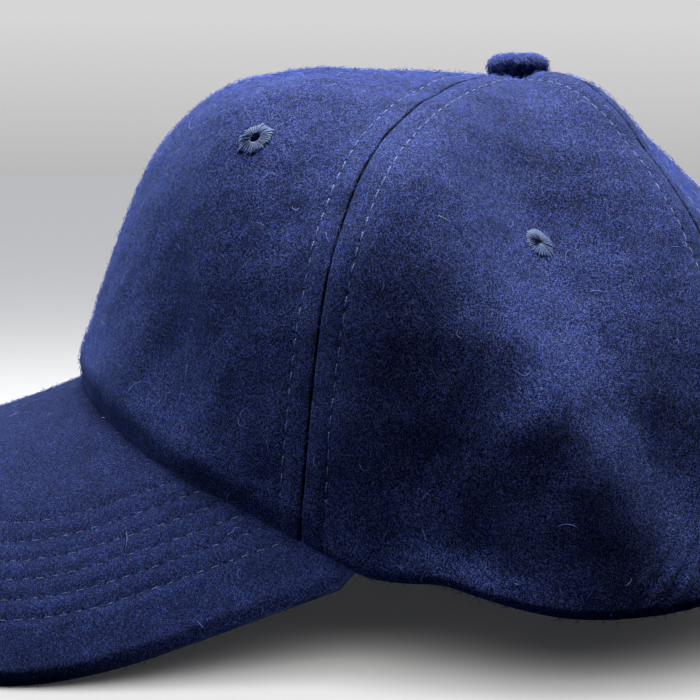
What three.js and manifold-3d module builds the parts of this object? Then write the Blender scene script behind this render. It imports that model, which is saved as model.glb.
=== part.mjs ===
// A soft six-panel cap with a curved peak, resting on a table. Millimetres, +Z up.
// The peak points along -Y and the wearer's left is +X. The table is z = 0.
// Turns are in degrees about the button's upright axis: 0 is the front, 90 the wearer's left.
import * as THREE from "three";
import { mergeVertices } from "three/addons/utils/BufferGeometryUtils.js";
import Module from "manifold-3d";

// Cloth and gaps
const CLOTH = 2.2;
const GAP = 0.3;

// Crown
const BUTTON_AXIS_Y = 37;
const APEX_HEIGHT = 119.7;
const APEX_HOLE_RADIUS = 5.6;
const FRONT_SEAM = 53;
const BACK_SEAM = 117.5;

// Meridians of the crown: each is one cubic curve from the apex to the rim.
// roofReach and roofRise place the handle by the apex, wallLean and wallRise the one by the rim.
const SECTIONS = [
  { turn: 0, roofReach: 65, roofRise: 0.5, wallLean: -19, wallRise: 84, reach: 102, rim: 47 },
  { turn: 30, roofReach: 63.5, roofRise: -2, wallLean: -17, wallRise: 77, reach: 99, rim: 31 },
  { turn: 60, roofReach: 56, roofRise: -1, wallLean: -5, wallRise: 70, reach: 92, rim: 26 },
  { turn: 90, roofReach: 38, roofRise: -1, wallLean: -10, wallRise: 58, reach: 94, rim: 16.5 },
  { turn: 120, roofReach: 36.5, roofRise: 8, wallLean: -9.5, wallRise: 59.5, reach: 90.5, rim: 17.5 },
  { turn: 150, roofReach: 30, roofRise: -3, wallLean: -11.5, wallRise: 60, reach: 91.5, rim: -4 },
  { turn: 180, roofReach: 32.5, roofRise: -4, wallLean: -12, wallRise: 61, reach: 92, rim: -3 },
];

// Soft folds: out is how far the cloth stands out (or sinks in) at the fold's middle.
// along runs from 0 at the apex to 1 at the rim, and slant is how far the fold turns on its way down.
const FOLDS = [
  { turn: 4, wide: 28, along: 0.975, long: 0.03, slant: 0, out: 1.2 },
  { turn: 26, wide: 12, along: 0.54, long: 0.21, slant: 0, out: 5 },
  { turn: 34, wide: 7, along: 0.74, long: 0.14, slant: 0, out: 1.6 },
  { turn: 31, wide: 6, along: 0.88, long: 0.09, slant: 15, out: -2.2 },
  { turn: 43, wide: 6, along: 0.76, long: 0.12, slant: 28, out: 0.8 },
  { turn: 60, wide: 9, along: 0.6, long: 0.2, slant: 0, out: 6 },
  { turn: 72, wide: 8, along: 0.9, long: 0.12, slant: 30, out: -2.4 },
  { turn: 84, wide: 11.5, along: 0.5, long: 0.17, slant: 35, out: -4.6 },
  { turn: 87, wide: 7, along: 0.8, long: 0.12, slant: 50, out: 3 },
  { turn: 98, wide: 5, along: 0.67, long: 0.1, slant: 0, out: 1.6 },
  { turn: 101, wide: 6, along: 0.84, long: 0.09, slant: 0, out: -2.4 },
  { turn: 130, wide: 12, along: 0.42, long: 0.1, slant: 0, out: -3 },
  { turn: 134, wide: 8, along: 0.62, long: 0.16, slant: 8, out: -2.4 },
  { turn: -36, wide: 7, along: 0.78, long: 0.13, slant: -16, out: -1.6 },
  { turn: -66, wide: 9, along: 0.82, long: 0.16, slant: -50, out: -2.2 },
  { turn: -88, wide: 8, along: 0.84, long: 0.13, slant: -35, out: 2.2 },
  { turn: -101, wide: 7, along: 0.72, long: 0.14, slant: 10, out: -2.2 },
  { turn: -140, wide: 8, along: 0.6, long: 0.16, slant: -6, out: -2.4 },
];
// Folds die out between this share of the way down and the rim.
const HEM_START = 0.96;
const PUFF = { height: 0.7, width: 9 };
const DIMPLE = { depth: 0.8, radius: 12 };
// Within about this radius of the button the cloth's thickness runs straight down.
const TIP_RADIUS = 12;
// Over the peak the rim turns in under the crown's overhang, and further round it hangs straight.
const UNDERCUT = { depth: 1.6, start: 0.972, fullTo: 42, goneAt: 58 };
// How a panel is divided: the width of its columns in degrees, and rows that crowd towards the rim.
const PANEL_MESH = { columnWidth: 4.4, rows: 16, crowding: 1.25 };

// Peak: a flat pattern bent round a cylinder whose axis slopes down to the front.
const PEAK = {
  bend: 94.5,
  slope: 19.4,
  ridgeY: -106.8,
  ridgeHeight: 46.8,
  halfWidth: 95.2,
  length: 62,
  squareness: 2.75,
  cheek: -18,
  corner: -46,
  topThickness: 2.2,
  underThickness: 1.8,
  tuck: 1.2,
  seatGap: 0.42,
};
const PEAK_MESH = { columns: 36, rows: 6, outlineSteps: 120 };
const TEMPLE = { turn: 65, blend: 14 };

// Eyelets, with their place along the meridian from apex to rim
const EYELETS = {
  front: { turn: 33, along: 0.567 },
  side: { turn: 85, along: 0.525 },
  back: { turn: 148, along: 0.52 },
};
const EYELET = { hole: 1, collar: 1.8, rim: 3.4, lift: 0.6, edge: 0.8, height: 1.15, sides: 12 };
const DRILL_LENGTH = 12;
const CLOTH_STEP = { turn: 2, along: 0.02 };

// Button
const BUTTON = { radius: 7, height: 4.4, stem: 4.9, lift: 0.1, sides: 20 };

// Sweatband and back closure
const BAND = { height: 32, thickness: 1.5, end: 138, lift: 1.2, columns: 56 };
const ARCH = { halfWidth: 43, shoulder: 8, height: 46, below: 10, nearest: 40, furthest: 120 };
const STRAP = { height: 19, thickness: 1.5, end: 140, lift: 3.2, columns: 48 };
const STRIP_ROWS = 3;
const BUCKLE = { turn: 192, halfWidth: 11, bar: 2, clear: 0.6, thickness: 1.6, weave: 3.6, span: 3.2 };
const LINING_GAP = 0.9;
// The step along a meridian when its length is measured
const CLIMB_STEP = 0.004;

const wasm = await Module();
wasm.setup();

const degrees = THREE.MathUtils.degToRad;
const mix = THREE.MathUtils.lerp;

// A turn between -180 and 180, so that the wearer's right is below zero.
const signed = (turn) => (turn > 180 ? turn - 360 : turn);

// A smooth ring through the sections' values: the cosine series that is even front to back.
function ring(column, turn) {
  const last = SECTIONS.length - 1;
  let sum = 0;
  for (let k = 0; k <= last; k++) {
    let weight = 0;
    SECTIONS.forEach((row, j) => {
      const share = j === 0 || j === last ? 0.5 : 1;
      weight += share * row[column] * Math.cos((Math.PI * k * j) / last);
    });
    const half = k === 0 || k === last ? 0.5 : 1;
    sum += ((2 * half * weight) / last) * Math.cos(k * degrees(turn));
  }
  return sum;
}

// A point of the peak: across and ahead are measured in its flat pattern, depth below its top.
function peakPoint(across, ahead, depth) {
  const bent = across / PEAK.bend;
  const radius = PEAK.bend - depth;
  const slope = degrees(PEAK.slope);
  const lift = radius * Math.cos(bent) - PEAK.bend;
  return [
    radius * Math.sin(bent),
    PEAK.ridgeY - ahead * Math.cos(slope) - lift * Math.sin(slope),
    Math.max(0, PEAK.ridgeHeight - ahead * Math.sin(slope) + lift * Math.cos(slope)),
  ];
}

// The height of the peak's top over a place in plan.
function peakHeight(x, y) {
  const slope = degrees(PEAK.slope);
  const lean = Math.sqrt(Math.max(0.02, 1 - (x / PEAK.bend) ** 2));
  const drop = (PEAK.bend * (1 - lean)) / Math.cos(slope);
  return PEAK.ridgeHeight + Math.tan(slope) * (y - PEAK.ridgeY) - drop;
}

// The rim rests on the peak in front, hangs free at the sides and lies flat on the table behind.
function rimHeight(turn, x, y) {
  const free = Math.max(0, ring("rim", turn));
  const behind = (Math.abs(signed(turn)) - TEMPLE.turn) / TEMPLE.blend + 0.5;
  const k = THREE.MathUtils.smoothstep(behind, 0, 1);
  if (k === 1) return free;
  const lean = Math.sqrt(Math.max(0.1, 1 - (x / PEAK.bend) ** 2));
  return mix(peakHeight(x, y) + PEAK.seatGap / lean, free, k);
}

// The crown's smooth form before folds: turn in degrees, along from 0 at the apex to 1 at the rim.
function crownForm(turn, along) {
  const reach = ring("reach", turn);
  const sin = Math.sin(degrees(turn));
  const cos = Math.cos(degrees(turn));
  const rim = rimHeight(turn, reach * sin, -reach * cos);
  const roof = [ring("roofReach", turn), APEX_HEIGHT + ring("roofRise", turn)];
  const wall = [reach + ring("wallLean", turn), rim + ring("wallRise", turn)];
  const back = 1 - along;
  const b0 = back ** 3;
  const b1 = 3 * along * back ** 2;
  const b2 = 3 * along ** 2 * back;
  const b3 = along ** 3;
  const out = b1 * roof[0] + b2 * wall[0] + b3 * reach;
  const up = b0 * APEX_HEIGHT + b1 * roof[1] + b2 * wall[1] + b3 * rim;
  return new THREE.Vector3(out * sin, -out * cos, up);
}

function crownNormal(turn, along) {
  const step = 0.02;
  const place = Math.min(Math.max(along, 0.03), 0.98);
  const down = crownForm(turn, place + step).sub(crownForm(turn, place - step));
  const round = crownForm(turn + 1, place).sub(crownForm(turn - 1, place));
  const form = crownForm(turn, along);
  const nearTip = Math.exp(-((Math.hypot(form.x, form.y) / TIP_RADIUS) ** 2));
  return down.cross(round).normalize().lerp(new THREE.Vector3(0, 0, 1), nearTip).normalize();
}

// How far the rim turns in over the peak.
function undercutAt(turn) {
  const side = Math.abs(signed(turn));
  return UNDERCUT.depth * (1 - THREE.MathUtils.smoothstep(side, UNDERCUT.fullTo, UNDERCUT.goneAt));
}

// How far the cloth stands out of the smooth form: puffed, folded, and turned in over the peak.
function swell(turn, along) {
  const form = crownForm(turn, along);
  const radius = Math.hypot(form.x, form.y);
  const side = Math.abs(signed(turn));
  const seams = [0, FRONT_SEAM, BACK_SEAM, 180];
  const away = degrees(Math.min(...seams.map((seam) => Math.abs(side - seam)))) * radius;
  const puff = PUFF.height * (1 - Math.exp(-((away / PUFF.width) ** 2)));
  const folds = FOLDS.reduce((sum, fold) => {
    const down = (along - fold.along) / fold.long;
    const round = (signed(turn) - fold.turn - fold.slant * (along - fold.along)) / fold.wide;
    return sum + fold.out * Math.exp(-(down ** 2) - round ** 2);
  }, 0);
  const tip = THREE.MathUtils.smoothstep(along, 0.05, 0.3);
  const hem = 1 - THREE.MathUtils.smoothstep(along, HEM_START, 1);
  const undercut = undercutAt(turn) * THREE.MathUtils.smoothstep(along, UNDERCUT.start, 1);
  const dimple = DIMPLE.depth * Math.exp(-((radius / DIMPLE.radius) ** 2));
  return (puff - PUFF.height * 0.5) * tip + folds * hem - undercut - dimple;
}

// A point of the cloth, depth millimetres under its outer face.
function crownPoint(turn, along, depth) {
  const normal = crownNormal(turn, along);
  const point = crownForm(turn, along).addScaledVector(normal, swell(turn, along) - depth);
  if (along === 1) point.z = rimHeight(turn, point.x, point.y);
  return point.toArray();
}

// Where a meridian passes a given distance from the button's axis.
function alongAtRadius(turn, radius) {
  let low = 0;
  let high = 0.5;
  for (let i = 0; i < 30; i++) {
    const middle = (low + high) / 2;
    const form = crownForm(turn, middle);
    if (Math.hypot(form.x, form.y) < radius) low = middle;
    else high = middle;
  }
  return high;
}

// Where a meridian has climbed a given distance from the rim.
function alongAtClimb(turn, climb) {
  let along = 1;
  let gone = 0;
  let last = crownForm(turn, 1);
  while (gone < climb) {
    along -= CLIMB_STEP;
    const next = crownForm(turn, along);
    gone += next.distanceTo(last);
    last = next;
  }
  return along;
}

// A closed shell between two faces, each a function of s and v from 0 to 1.
function shell(outer, inner, columns, rows) {
  const across = columns + 1;
  const layer = across * (rows + 1);
  const points = [];
  const faces = [];
  for (const face of [outer, inner])
    for (let j = 0; j <= rows; j++)
      for (let i = 0; i <= columns; i++) points.push(...face(i / columns, j / rows));
  const at = (side, i, j) => side * layer + j * across + i;
  const quad = (a, b, c, d) => faces.push(a, b, c, a, c, d);
  for (let j = 0; j < rows; j++) {
    for (let i = 0; i < columns; i++) {
      quad(at(0, i, j), at(0, i, j + 1), at(0, i + 1, j + 1), at(0, i + 1, j));
      quad(at(1, i, j), at(1, i + 1, j), at(1, i + 1, j + 1), at(1, i, j + 1));
    }
    quad(at(0, 0, j), at(1, 0, j), at(1, 0, j + 1), at(0, 0, j + 1));
    quad(at(0, columns, j), at(0, columns, j + 1), at(1, columns, j + 1), at(1, columns, j));
  }
  for (let i = 0; i < columns; i++) {
    quad(at(0, i, 0), at(0, i + 1, 0), at(1, i + 1, 0), at(1, i, 0));
    quad(at(0, i, rows), at(1, i, rows), at(1, i + 1, rows), at(0, i + 1, rows));
  }
  return new THREE.BufferGeometry()
    .setAttribute("position", new THREE.Float32BufferAttribute(points, 3))
    .setIndex(faces);
}

function toSolid(geometry) {
  const bare = geometry.clone();
  bare.deleteAttribute("normal");
  bare.deleteAttribute("uv");
  const merged = mergeVertices(bare, 1e-4);
  const vertProperties = new Float32Array(merged.attributes.position.array);
  const triVerts = new Uint32Array(merged.index.array);
  return new wasm.Manifold(new wasm.Mesh({ numProp: 3, vertProperties, triVerts }));
}

function toGeometry(solid) {
  const mesh = solid.getMesh();
  return new THREE.BufferGeometry()
    .setAttribute("position", new THREE.BufferAttribute(mesh.vertProperties, 3))
    .setIndex(new THREE.BufferAttribute(mesh.triVerts, 1));
}

function cut(geometry, tools) {
  const start = toSolid(geometry);
  return toGeometry(tools.reduce((solid, tool) => solid.subtract(toSolid(tool)), start));
}

function piece(name, geometry, material) {
  geometry.computeVertexNormals();
  const mesh = new THREE.Mesh(geometry, material.clone());
  mesh.name = name;
  return mesh;
}

const cloth = new THREE.MeshStandardMaterial({ color: 0x1b2753, roughness: 0.95, metalness: 0 });
const thread = new THREE.MeshStandardMaterial({ color: 0x3a5384, roughness: 0.7, metalness: 0 });
const lining = new THREE.MeshStandardMaterial({ color: 0x141a33, roughness: 0.9, metalness: 0 });
const metal = new THREE.MeshStandardMaterial({ color: 0x8d8f93, roughness: 0.35, metalness: 1 });

// The way out of the folded cloth, from a step down it and a step round it.
function clothNormal(turn, along) {
  const at = (t, a) => new THREE.Vector3(...crownPoint(t, a, 0));
  const down = at(turn, along + CLOTH_STEP.along).sub(at(turn, along - CLOTH_STEP.along));
  const round = at(turn + CLOTH_STEP.turn, along).sub(at(turn - CLOTH_STEP.turn, along));
  return down.cross(round).normalize();
}

// Places an object so that its own +Y leaves the cloth along the normal.
function seat(object, turn, along) {
  object.position.set(...crownPoint(turn, along, 0));
  object.quaternion.setFromUnitVectors(new THREE.Vector3(0, 1, 0), clothNormal(turn, along));
  return object;
}

// One panel of the crown between two seams, with its eyelet hole, and cut by the tools given.
function panel(from, to, eyeletTurn, eyeletAlong, tools) {
  const face = (depth) => (s, v) => {
    const turn = mix(from, to, s);
    const start = alongAtRadius(turn, APEX_HOLE_RADIUS);
    const along = mix(start, 1, 1 - (1 - v) ** PANEL_MESH.crowding);
    const form = crownForm(turn, along);
    const radius = Math.hypot(form.x, form.y);
    const seamGap = THREE.MathUtils.radToDeg(GAP / 2 / radius);
    return crownPoint(mix(from + seamGap, to - seamGap, s), along, depth);
  };
  const columns = Math.round(Math.abs(to - from) / PANEL_MESH.columnWidth);
  const body = shell(face(0), face(CLOTH), columns, PANEL_MESH.rows);
  const bore = EYELET.collar + GAP;
  const drill = new THREE.CylinderGeometry(bore, bore, DRILL_LENGTH, EYELET.sides);
  const hole = seat(new THREE.Object3D(), eyeletTurn, eyeletAlong);
  hole.updateMatrix();
  return cut(body, [drill.applyMatrix4(hole.matrix), ...tools]);
}

// The opening at the back: upright shoulders under a half ellipse, right through the cloth.
function archTool() {
  const { halfWidth, shoulder, height, below, nearest, furthest } = ARCH;
  const shape = new THREE.Shape();
  shape.moveTo(-halfWidth, -below);
  shape.lineTo(halfWidth, -below);
  shape.lineTo(halfWidth, shoulder);
  shape.absellipse(0, shoulder, halfWidth, height - shoulder, 0, Math.PI, false);
  shape.closePath();
  const settings = { depth: furthest - nearest, bevelEnabled: false, curveSegments: 12 };
  return new THREE.ExtrudeGeometry(shape, settings).rotateX(Math.PI / 2).translate(0, furthest, 0);
}

// A ring of embroidery lining an eyelet: a collar through the cloth under a domed flange.
function eyelet() {
  const { hole, collar, rim, lift, edge, height, sides } = EYELET;
  const profile = [
    [hole, -CLOTH],
    [collar, -CLOTH],
    [collar, lift],
    [rim, lift],
    [rim, edge],
    [mix(hole, rim, 0.7), height],
    [mix(hole, rim, 0.3), height],
    [hole, edge],
    [hole, -CLOTH],
  ];
  return new THREE.LatheGeometry(profile.map(([r, h]) => new THREE.Vector2(r, h)), sides);
}

// The covered button: a low dome over the apex with its stem through the middle.
function button() {
  const { radius, height, stem, lift, sides } = BUTTON;
  const profile = [
    [0, -CLOTH],
    [stem, -CLOTH],
    [stem, lift],
    [radius * 0.93, lift],
    [radius, height * 0.27],
    [radius * 0.99, height * 0.6],
    [radius * 0.86, height * 0.86],
    [radius * 0.5, height * 0.98],
    [0, height],
  ];
  const dome = new THREE.LatheGeometry(profile.map(([r, h]) => new THREE.Vector2(r, h)), sides);
  return toGeometry(toSolid(dome.rotateX(Math.PI / 2)));
}

// The flat outline of the peak from its left corner round the tip to its right corner.
function peakOutline(count) {
  const { halfWidth, length, cheek, corner, squareness } = PEAK;
  const dense = [[-halfWidth, corner]];
  for (let i = 0; i <= PEAK_MESH.outlineSteps; i++) {
    const angle = Math.PI * (i / PEAK_MESH.outlineSteps - 0.5);
    const across = Math.sign(angle) * halfWidth * Math.abs(Math.sin(angle)) ** (2 / squareness);
    const ahead = cheek + (length - cheek) * Math.abs(Math.cos(angle)) ** (2 / squareness);
    dense.push([across, ahead]);
  }
  dense.push([halfWidth, corner]);
  return evenly(dense, count);
}

// The peak's inner edge, tucked in under the crown's rim, in the flat pattern.
function peakInner(count) {
  const dense = [];
  const most = PEAK.bend * Math.sin(PEAK.halfWidth / PEAK.bend);
  for (let turn = -TEMPLE.turn - 6; turn <= TEMPLE.turn + 6; turn += 1) {
    const reach = ring("reach", turn) - PEAK.tuck - undercutAt(turn);
    const x = reach * Math.sin(degrees(turn));
    if (Math.abs(x) > most - 1) continue;
    const bent = Math.asin(x / PEAK.bend);
    const slope = degrees(PEAK.slope);
    const lift = PEAK.bend * (Math.cos(bent) - 1);
    const y = -reach * Math.cos(degrees(turn));
    dense.push([PEAK.bend * bent, (PEAK.ridgeY - y - lift * Math.sin(slope)) / Math.cos(slope)]);
  }
  return evenly(dense, count);
}

// The same line with its points an even distance apart.
function evenly(points, count) {
  const path = new THREE.CurvePath();
  for (let i = 1; i < points.length; i++)
    path.add(new THREE.LineCurve(new THREE.Vector2(...points[i - 1]), new THREE.Vector2(...points[i])));
  return Array.from({ length: count }, (_, i) => path.getPointAt(i / (count - 1)));
}

// One layer of the peak between two depths under its top face.
function peakLayer(top, bottom) {
  const { columns, rows } = PEAK_MESH;
  const outline = peakOutline(columns + 1);
  const inner = peakInner(columns + 1);
  const face = (depth) => (s, v) => {
    const i = Math.round(s * columns);
    const flat = inner[i].clone().lerp(outline[i], v);
    return peakPoint(flat.x, flat.y, depth);
  };
  return shell(face(top), face(bottom), columns, rows);
}

// A strip of cloth inside the crown's wall, from one turn to another, between two climbs.
function innerStrip({ from, to, low, high, thickness, columns, shift = () => 0 }) {
  const face = (extra) => (s, v) => {
    const turn = mix(from, to, s);
    const along = alongAtClimb(turn, mix(high, low, v));
    const normal = crownNormal(turn, along);
    const depth = CLOTH + LINING_GAP + extra - shift(turn) - swell(turn, along);
    return crownForm(turn, along).addScaledVector(normal, -depth).toArray();
  };
  return shell(face(0), face(thickness), columns, STRIP_ROWS);
}

// The strap behind, which weaves over the middle bar of its slide.
function strapShift(turn) {
  const away = Math.abs(turn - BUCKLE.turn) / BUCKLE.span;
  return BUCKLE.weave * Math.exp(-(away ** 4));
}

// The slide: a flat frame with two openings, whose middle bar the strap weaves over.
function slide() {
  const { halfWidth, bar, clear, thickness } = BUCKLE;
  const tall = STRAP.height + 2 * (clear + bar);
  const wide = halfWidth - 1.5 * bar;
  const window = new THREE.BoxGeometry(wide, 4 * thickness, tall - 2 * bar);
  const windows = [-1, 1].map((side) => window.clone().translate((side * (wide + bar)) / 2, 0, 0));
  return cut(new THREE.BoxGeometry(2 * halfWidth, thickness, tall), windows);
}

const hat = new THREE.Group();
hat.position.y = BUTTON_AXIS_Y;

const arch = archTool();
const PANELS = [
  { name: "front", from: 0, to: FRONT_SEAM, tools: [] },
  { name: "side", from: FRONT_SEAM, to: BACK_SEAM, tools: [] },
  { name: "back", from: BACK_SEAM, to: 180, tools: [arch] },
];
for (const { name, from, to, tools } of PANELS) {
  const { turn, along } = EYELETS[name];
  const left = panel(from, to, turn, along, tools);
  const right = panel(-to, -from, -turn, along, tools);
  hat.add(piece(`panel_${name}_left`, left, cloth));
  hat.add(piece(`panel_${name}_right`, right, cloth));
  hat.add(seat(piece(`eyelet_${name}_left`, toGeometry(toSolid(eyelet())), thread), turn, along));
  hat.add(seat(piece(`eyelet_${name}_right`, toGeometry(toSolid(eyelet())), thread), -turn, along));
}

const cap = piece("button", button(), cloth);
cap.position.z = APEX_HEIGHT + GAP;
hat.add(cap);

const split = PEAK.topThickness + GAP;
hat.add(piece("peak_top", peakLayer(0, PEAK.topThickness), cloth));
hat.add(piece("peak_under", peakLayer(split, split + PEAK.underThickness), cloth));

const band = innerStrip({
  from: -BAND.end,
  to: BAND.end,
  low: BAND.lift,
  high: BAND.height,
  thickness: BAND.thickness,
  columns: BAND.columns,
});
hat.add(piece("sweatband", band, lining));

const straps = innerStrip({
  from: STRAP.end,
  to: 360 - STRAP.end,
  low: STRAP.lift,
  high: STRAP.lift + STRAP.height,
  thickness: STRAP.thickness,
  columns: STRAP.columns,
  shift: strapShift,
});
hat.add(piece("strap", straps, cloth));

const buckle = piece("buckle", slide(), metal);
const buckleAlong = alongAtClimb(BUCKLE.turn, STRAP.lift + STRAP.height / 2);
const outward = crownNormal(BUCKLE.turn, buckleAlong);
const sideways = new THREE.Vector3(0, 0, 1).cross(outward).normalize();
const upward = sideways.clone().cross(outward);
const barDepth = CLOTH + LINING_GAP + STRAP.thickness - BUCKLE.weave + 2 * GAP + BUCKLE.thickness / 2;
buckle.quaternion.setFromRotationMatrix(new THREE.Matrix4().makeBasis(sideways, outward, upward));
buckle.position.set(...crownPoint(BUCKLE.turn, buckleAlong, barDepth));
hat.add(buckle);

export default hat;
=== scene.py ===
# %% [markdown]
# # A soft wool cap with six panels
# The cap lies on a pale table, its curved peak to the left of the picture. Its solids are already
# made in model.glb, so this lesson loads them first, and then dresses each one in cloth, thread and nap.
# Sizes are in millimetres up to the last step, where a mesh gets its points in metres.

# %% Load the frame
import math
import bpy
import numpy as np
from mathutils import Matrix


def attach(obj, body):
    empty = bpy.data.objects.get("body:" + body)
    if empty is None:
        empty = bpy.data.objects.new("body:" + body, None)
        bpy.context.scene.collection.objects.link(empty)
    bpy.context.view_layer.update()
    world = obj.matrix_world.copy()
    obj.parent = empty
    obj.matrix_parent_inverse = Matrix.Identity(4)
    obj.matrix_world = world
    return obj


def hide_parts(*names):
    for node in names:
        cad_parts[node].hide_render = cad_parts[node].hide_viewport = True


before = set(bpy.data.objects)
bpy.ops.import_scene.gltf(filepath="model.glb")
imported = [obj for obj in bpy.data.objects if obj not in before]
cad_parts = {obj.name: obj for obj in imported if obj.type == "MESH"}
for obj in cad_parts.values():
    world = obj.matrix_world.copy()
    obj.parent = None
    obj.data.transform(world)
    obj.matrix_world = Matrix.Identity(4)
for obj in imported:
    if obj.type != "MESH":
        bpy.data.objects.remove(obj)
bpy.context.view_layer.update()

# %% [markdown]
# ## The camera
# The picture was taken from the wearer's left, a hand's breadth above the table, with a long lens.
# The camera is placed by its distance and its yaw, pitch and roll, so it could also be set by
# pointing it at a target. Angles are kept here because they are easy to compare with the picture.

# %% Camera
PLACE = (0.4057, -0.0410, 0.1112)
YAW, PITCH, ROLL = np.radians([5.49, 7.82, 0.19])
FOCAL_SHARE = 1748 / 700


def camera_axes(yaw, pitch, roll):
    """Looks along -X, turned by yaw towards +Y, tipped down by pitch and then rolled."""
    ahead = np.array([-np.cos(pitch) * np.cos(yaw), np.cos(pitch) * np.sin(yaw), -np.sin(pitch)])
    right = np.cross(ahead, [0, 0, 1])
    right /= np.linalg.norm(right)
    up = np.cross(right, ahead)
    rolled = right * np.cos(roll) + up * np.sin(roll)
    return rolled, up * np.cos(roll) - right * np.sin(roll), -ahead


camera = bpy.data.objects.new("camera", bpy.data.cameras.new("camera"))
bpy.context.scene.collection.objects.link(camera)
camera.data.sensor_width = 36
camera.data.lens = 36 * FOCAL_SHARE
camera.data.clip_start, camera.data.clip_end = 0.01, 20
axes = camera_axes(YAW, PITCH, ROLL)
turned = [[float(axes[c][r]) for c in range(3)] + [PLACE[r]] for r in range(3)]
camera.matrix_world = Matrix([*turned, [0, 0, 0, 1]])
bpy.context.scene.camera = camera
print("lens", round(camera.data.lens, 1), "mm")

# %% [markdown]
# ## Meshes from arrays
# Every piece below is a grid of points worked out with numpy. One helper puts such arrays into a
# mesh, turns the faces outwards if the enclosed volume comes out negative, and gives the object
# its body. A surface modifier could do the same for one piece, but a shared helper keeps all of
# them closed and at the origin.

# %% Mesh helper
AXIS_Y = 37.0
THIRDS = (0.0, 2.0944, 4.1888)  # of a full circle
PIECES = {}


def volume(points, faces):
    """Six times the signed volume: the sum of a . (b x c) over the fan of each face."""
    total = 0.0
    for block in faces:
        for k in range(2, block.shape[1]):
            a, b, c = (points[block[:, i]] for i in (0, k - 1, k))
            total += (a * np.cross(b, c)).sum()
    return total


def build(name, points, faces, material, maps=None, values=None, normals=None, second=None):
    """A closed mesh object from points (n, 3) in millimetres about the button's axis; second is
    another material with the mask of its faces."""
    points = points.reshape(-1, 3).astype(float)
    points[:, 2] = np.maximum(points[:, 2], 0.0)
    if volume(points, faces) < 0:
        faces = [block[:, ::-1] for block in faces]
    loops = np.concatenate([block.ravel() for block in faces]).astype(np.int32)
    sizes = np.concatenate([np.full(len(block), block.shape[1]) for block in faces])
    mesh = bpy.data.meshes.new(name)
    mesh.vertices.add(len(points))
    mesh.vertices.foreach_set("co", ((points + [0, AXIS_Y, 0]) / 1000).astype(np.float32).ravel())
    mesh.loops.add(len(loops))
    mesh.loops.foreach_set("vertex_index", loops)
    mesh.polygons.add(len(sizes))
    mesh.polygons.foreach_set("loop_start", np.concatenate([[0], np.cumsum(sizes)[:-1]]).astype(np.int32))
    mesh.polygons.foreach_set("use_smooth", np.ones(len(sizes), bool))
    mesh.materials.append(material)
    if second:
        mesh.materials.append(second[0])
        mesh.polygons.foreach_set("material_index", second[1].astype(np.int32))
    mesh.update(calc_edges=True)
    for key, uv in (maps or {}).items():
        layer = mesh.uv_layers.new(name=key)
        layer.data.foreach_set("uv", uv.reshape(-1, 2)[loops].astype(np.float32).ravel())
    for key, value in (values or {}).items():
        held = mesh.attributes.new(key, "FLOAT", "POINT")
        held.data.foreach_set("value", value.astype(np.float32).ravel())
    mesh.validate()
    if normals is not None:
        mesh.normals_split_custom_set_from_vertices(normals.reshape(-1, 3))
    piece = bpy.data.objects.new(name, mesh)
    bpy.context.scene.collection.objects.link(piece)
    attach(piece, "root")
    PIECES[name] = int((sizes - 2).sum())
    return piece


def unit(vectors):
    """The same directions with length 1."""
    return vectors / np.maximum(np.linalg.norm(vectors, axis=-1, keepdims=True), 1e-12)


def circle(count):
    """That many angles, evenly round a circle."""
    return np.linspace(0, 2 * np.pi, count, endpoint=False)


def walked(path, axis=0):
    """The length of a path up to each of its points: the running sum of its straight steps."""
    steps = np.linalg.norm(np.diff(path, axis=axis), axis=-1)
    start = np.zeros_like(np.take(steps, [0], axis))
    return np.concatenate([start, np.cumsum(steps, axis=axis)], axis)


def ring_quads(a, b, turned=False):
    """Quads between closed rings of point numbers: each ring of a and its neighbour in b."""
    quads = np.stack([a, np.roll(a, -1, -1), np.roll(b, -1, -1), b], -1).reshape(-1, 4)
    return quads[:, [0, 3, 2, 1]] if turned else quads


print("a quarter turn:", round(float(circle(4)[1]), 4))

# %% [markdown]
# ## Cloth as a pillow
# A cut piece of thick wool has no sharp edges: both faces roll towards each other and meet in a
# soft line. So each piece is a middle surface with a half thickness that falls to nothing along a
# quarter circle at its borders. The two faces share their border points, which closes the shell
# without any side walls.

# %% Pillow helpers
def roll_off(away, radius):
    """Share of the full thickness at a distance from the border: a quarter circle of that radius."""
    return np.sqrt(1 - (1 - np.clip(away / radius, 0, 1)) ** 2)


def spaced(length, radius, fine, coarse, reach):
    """Fractions of a length from 0 to 1, close together at both ends and wider in the middle."""
    ends = radius * (1 - np.cos(np.radians([0, 22, 42, 60, 76])))
    near = np.arange(radius, reach - 0.4 * fine, fine)
    middle = np.linspace(reach, length / 2, max(2, int((length / 2 - reach) / coarse) + 2))
    half = np.concatenate([ends, near, middle])
    return np.concatenate([half, length - half[::-1][1:]]) / length


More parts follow.
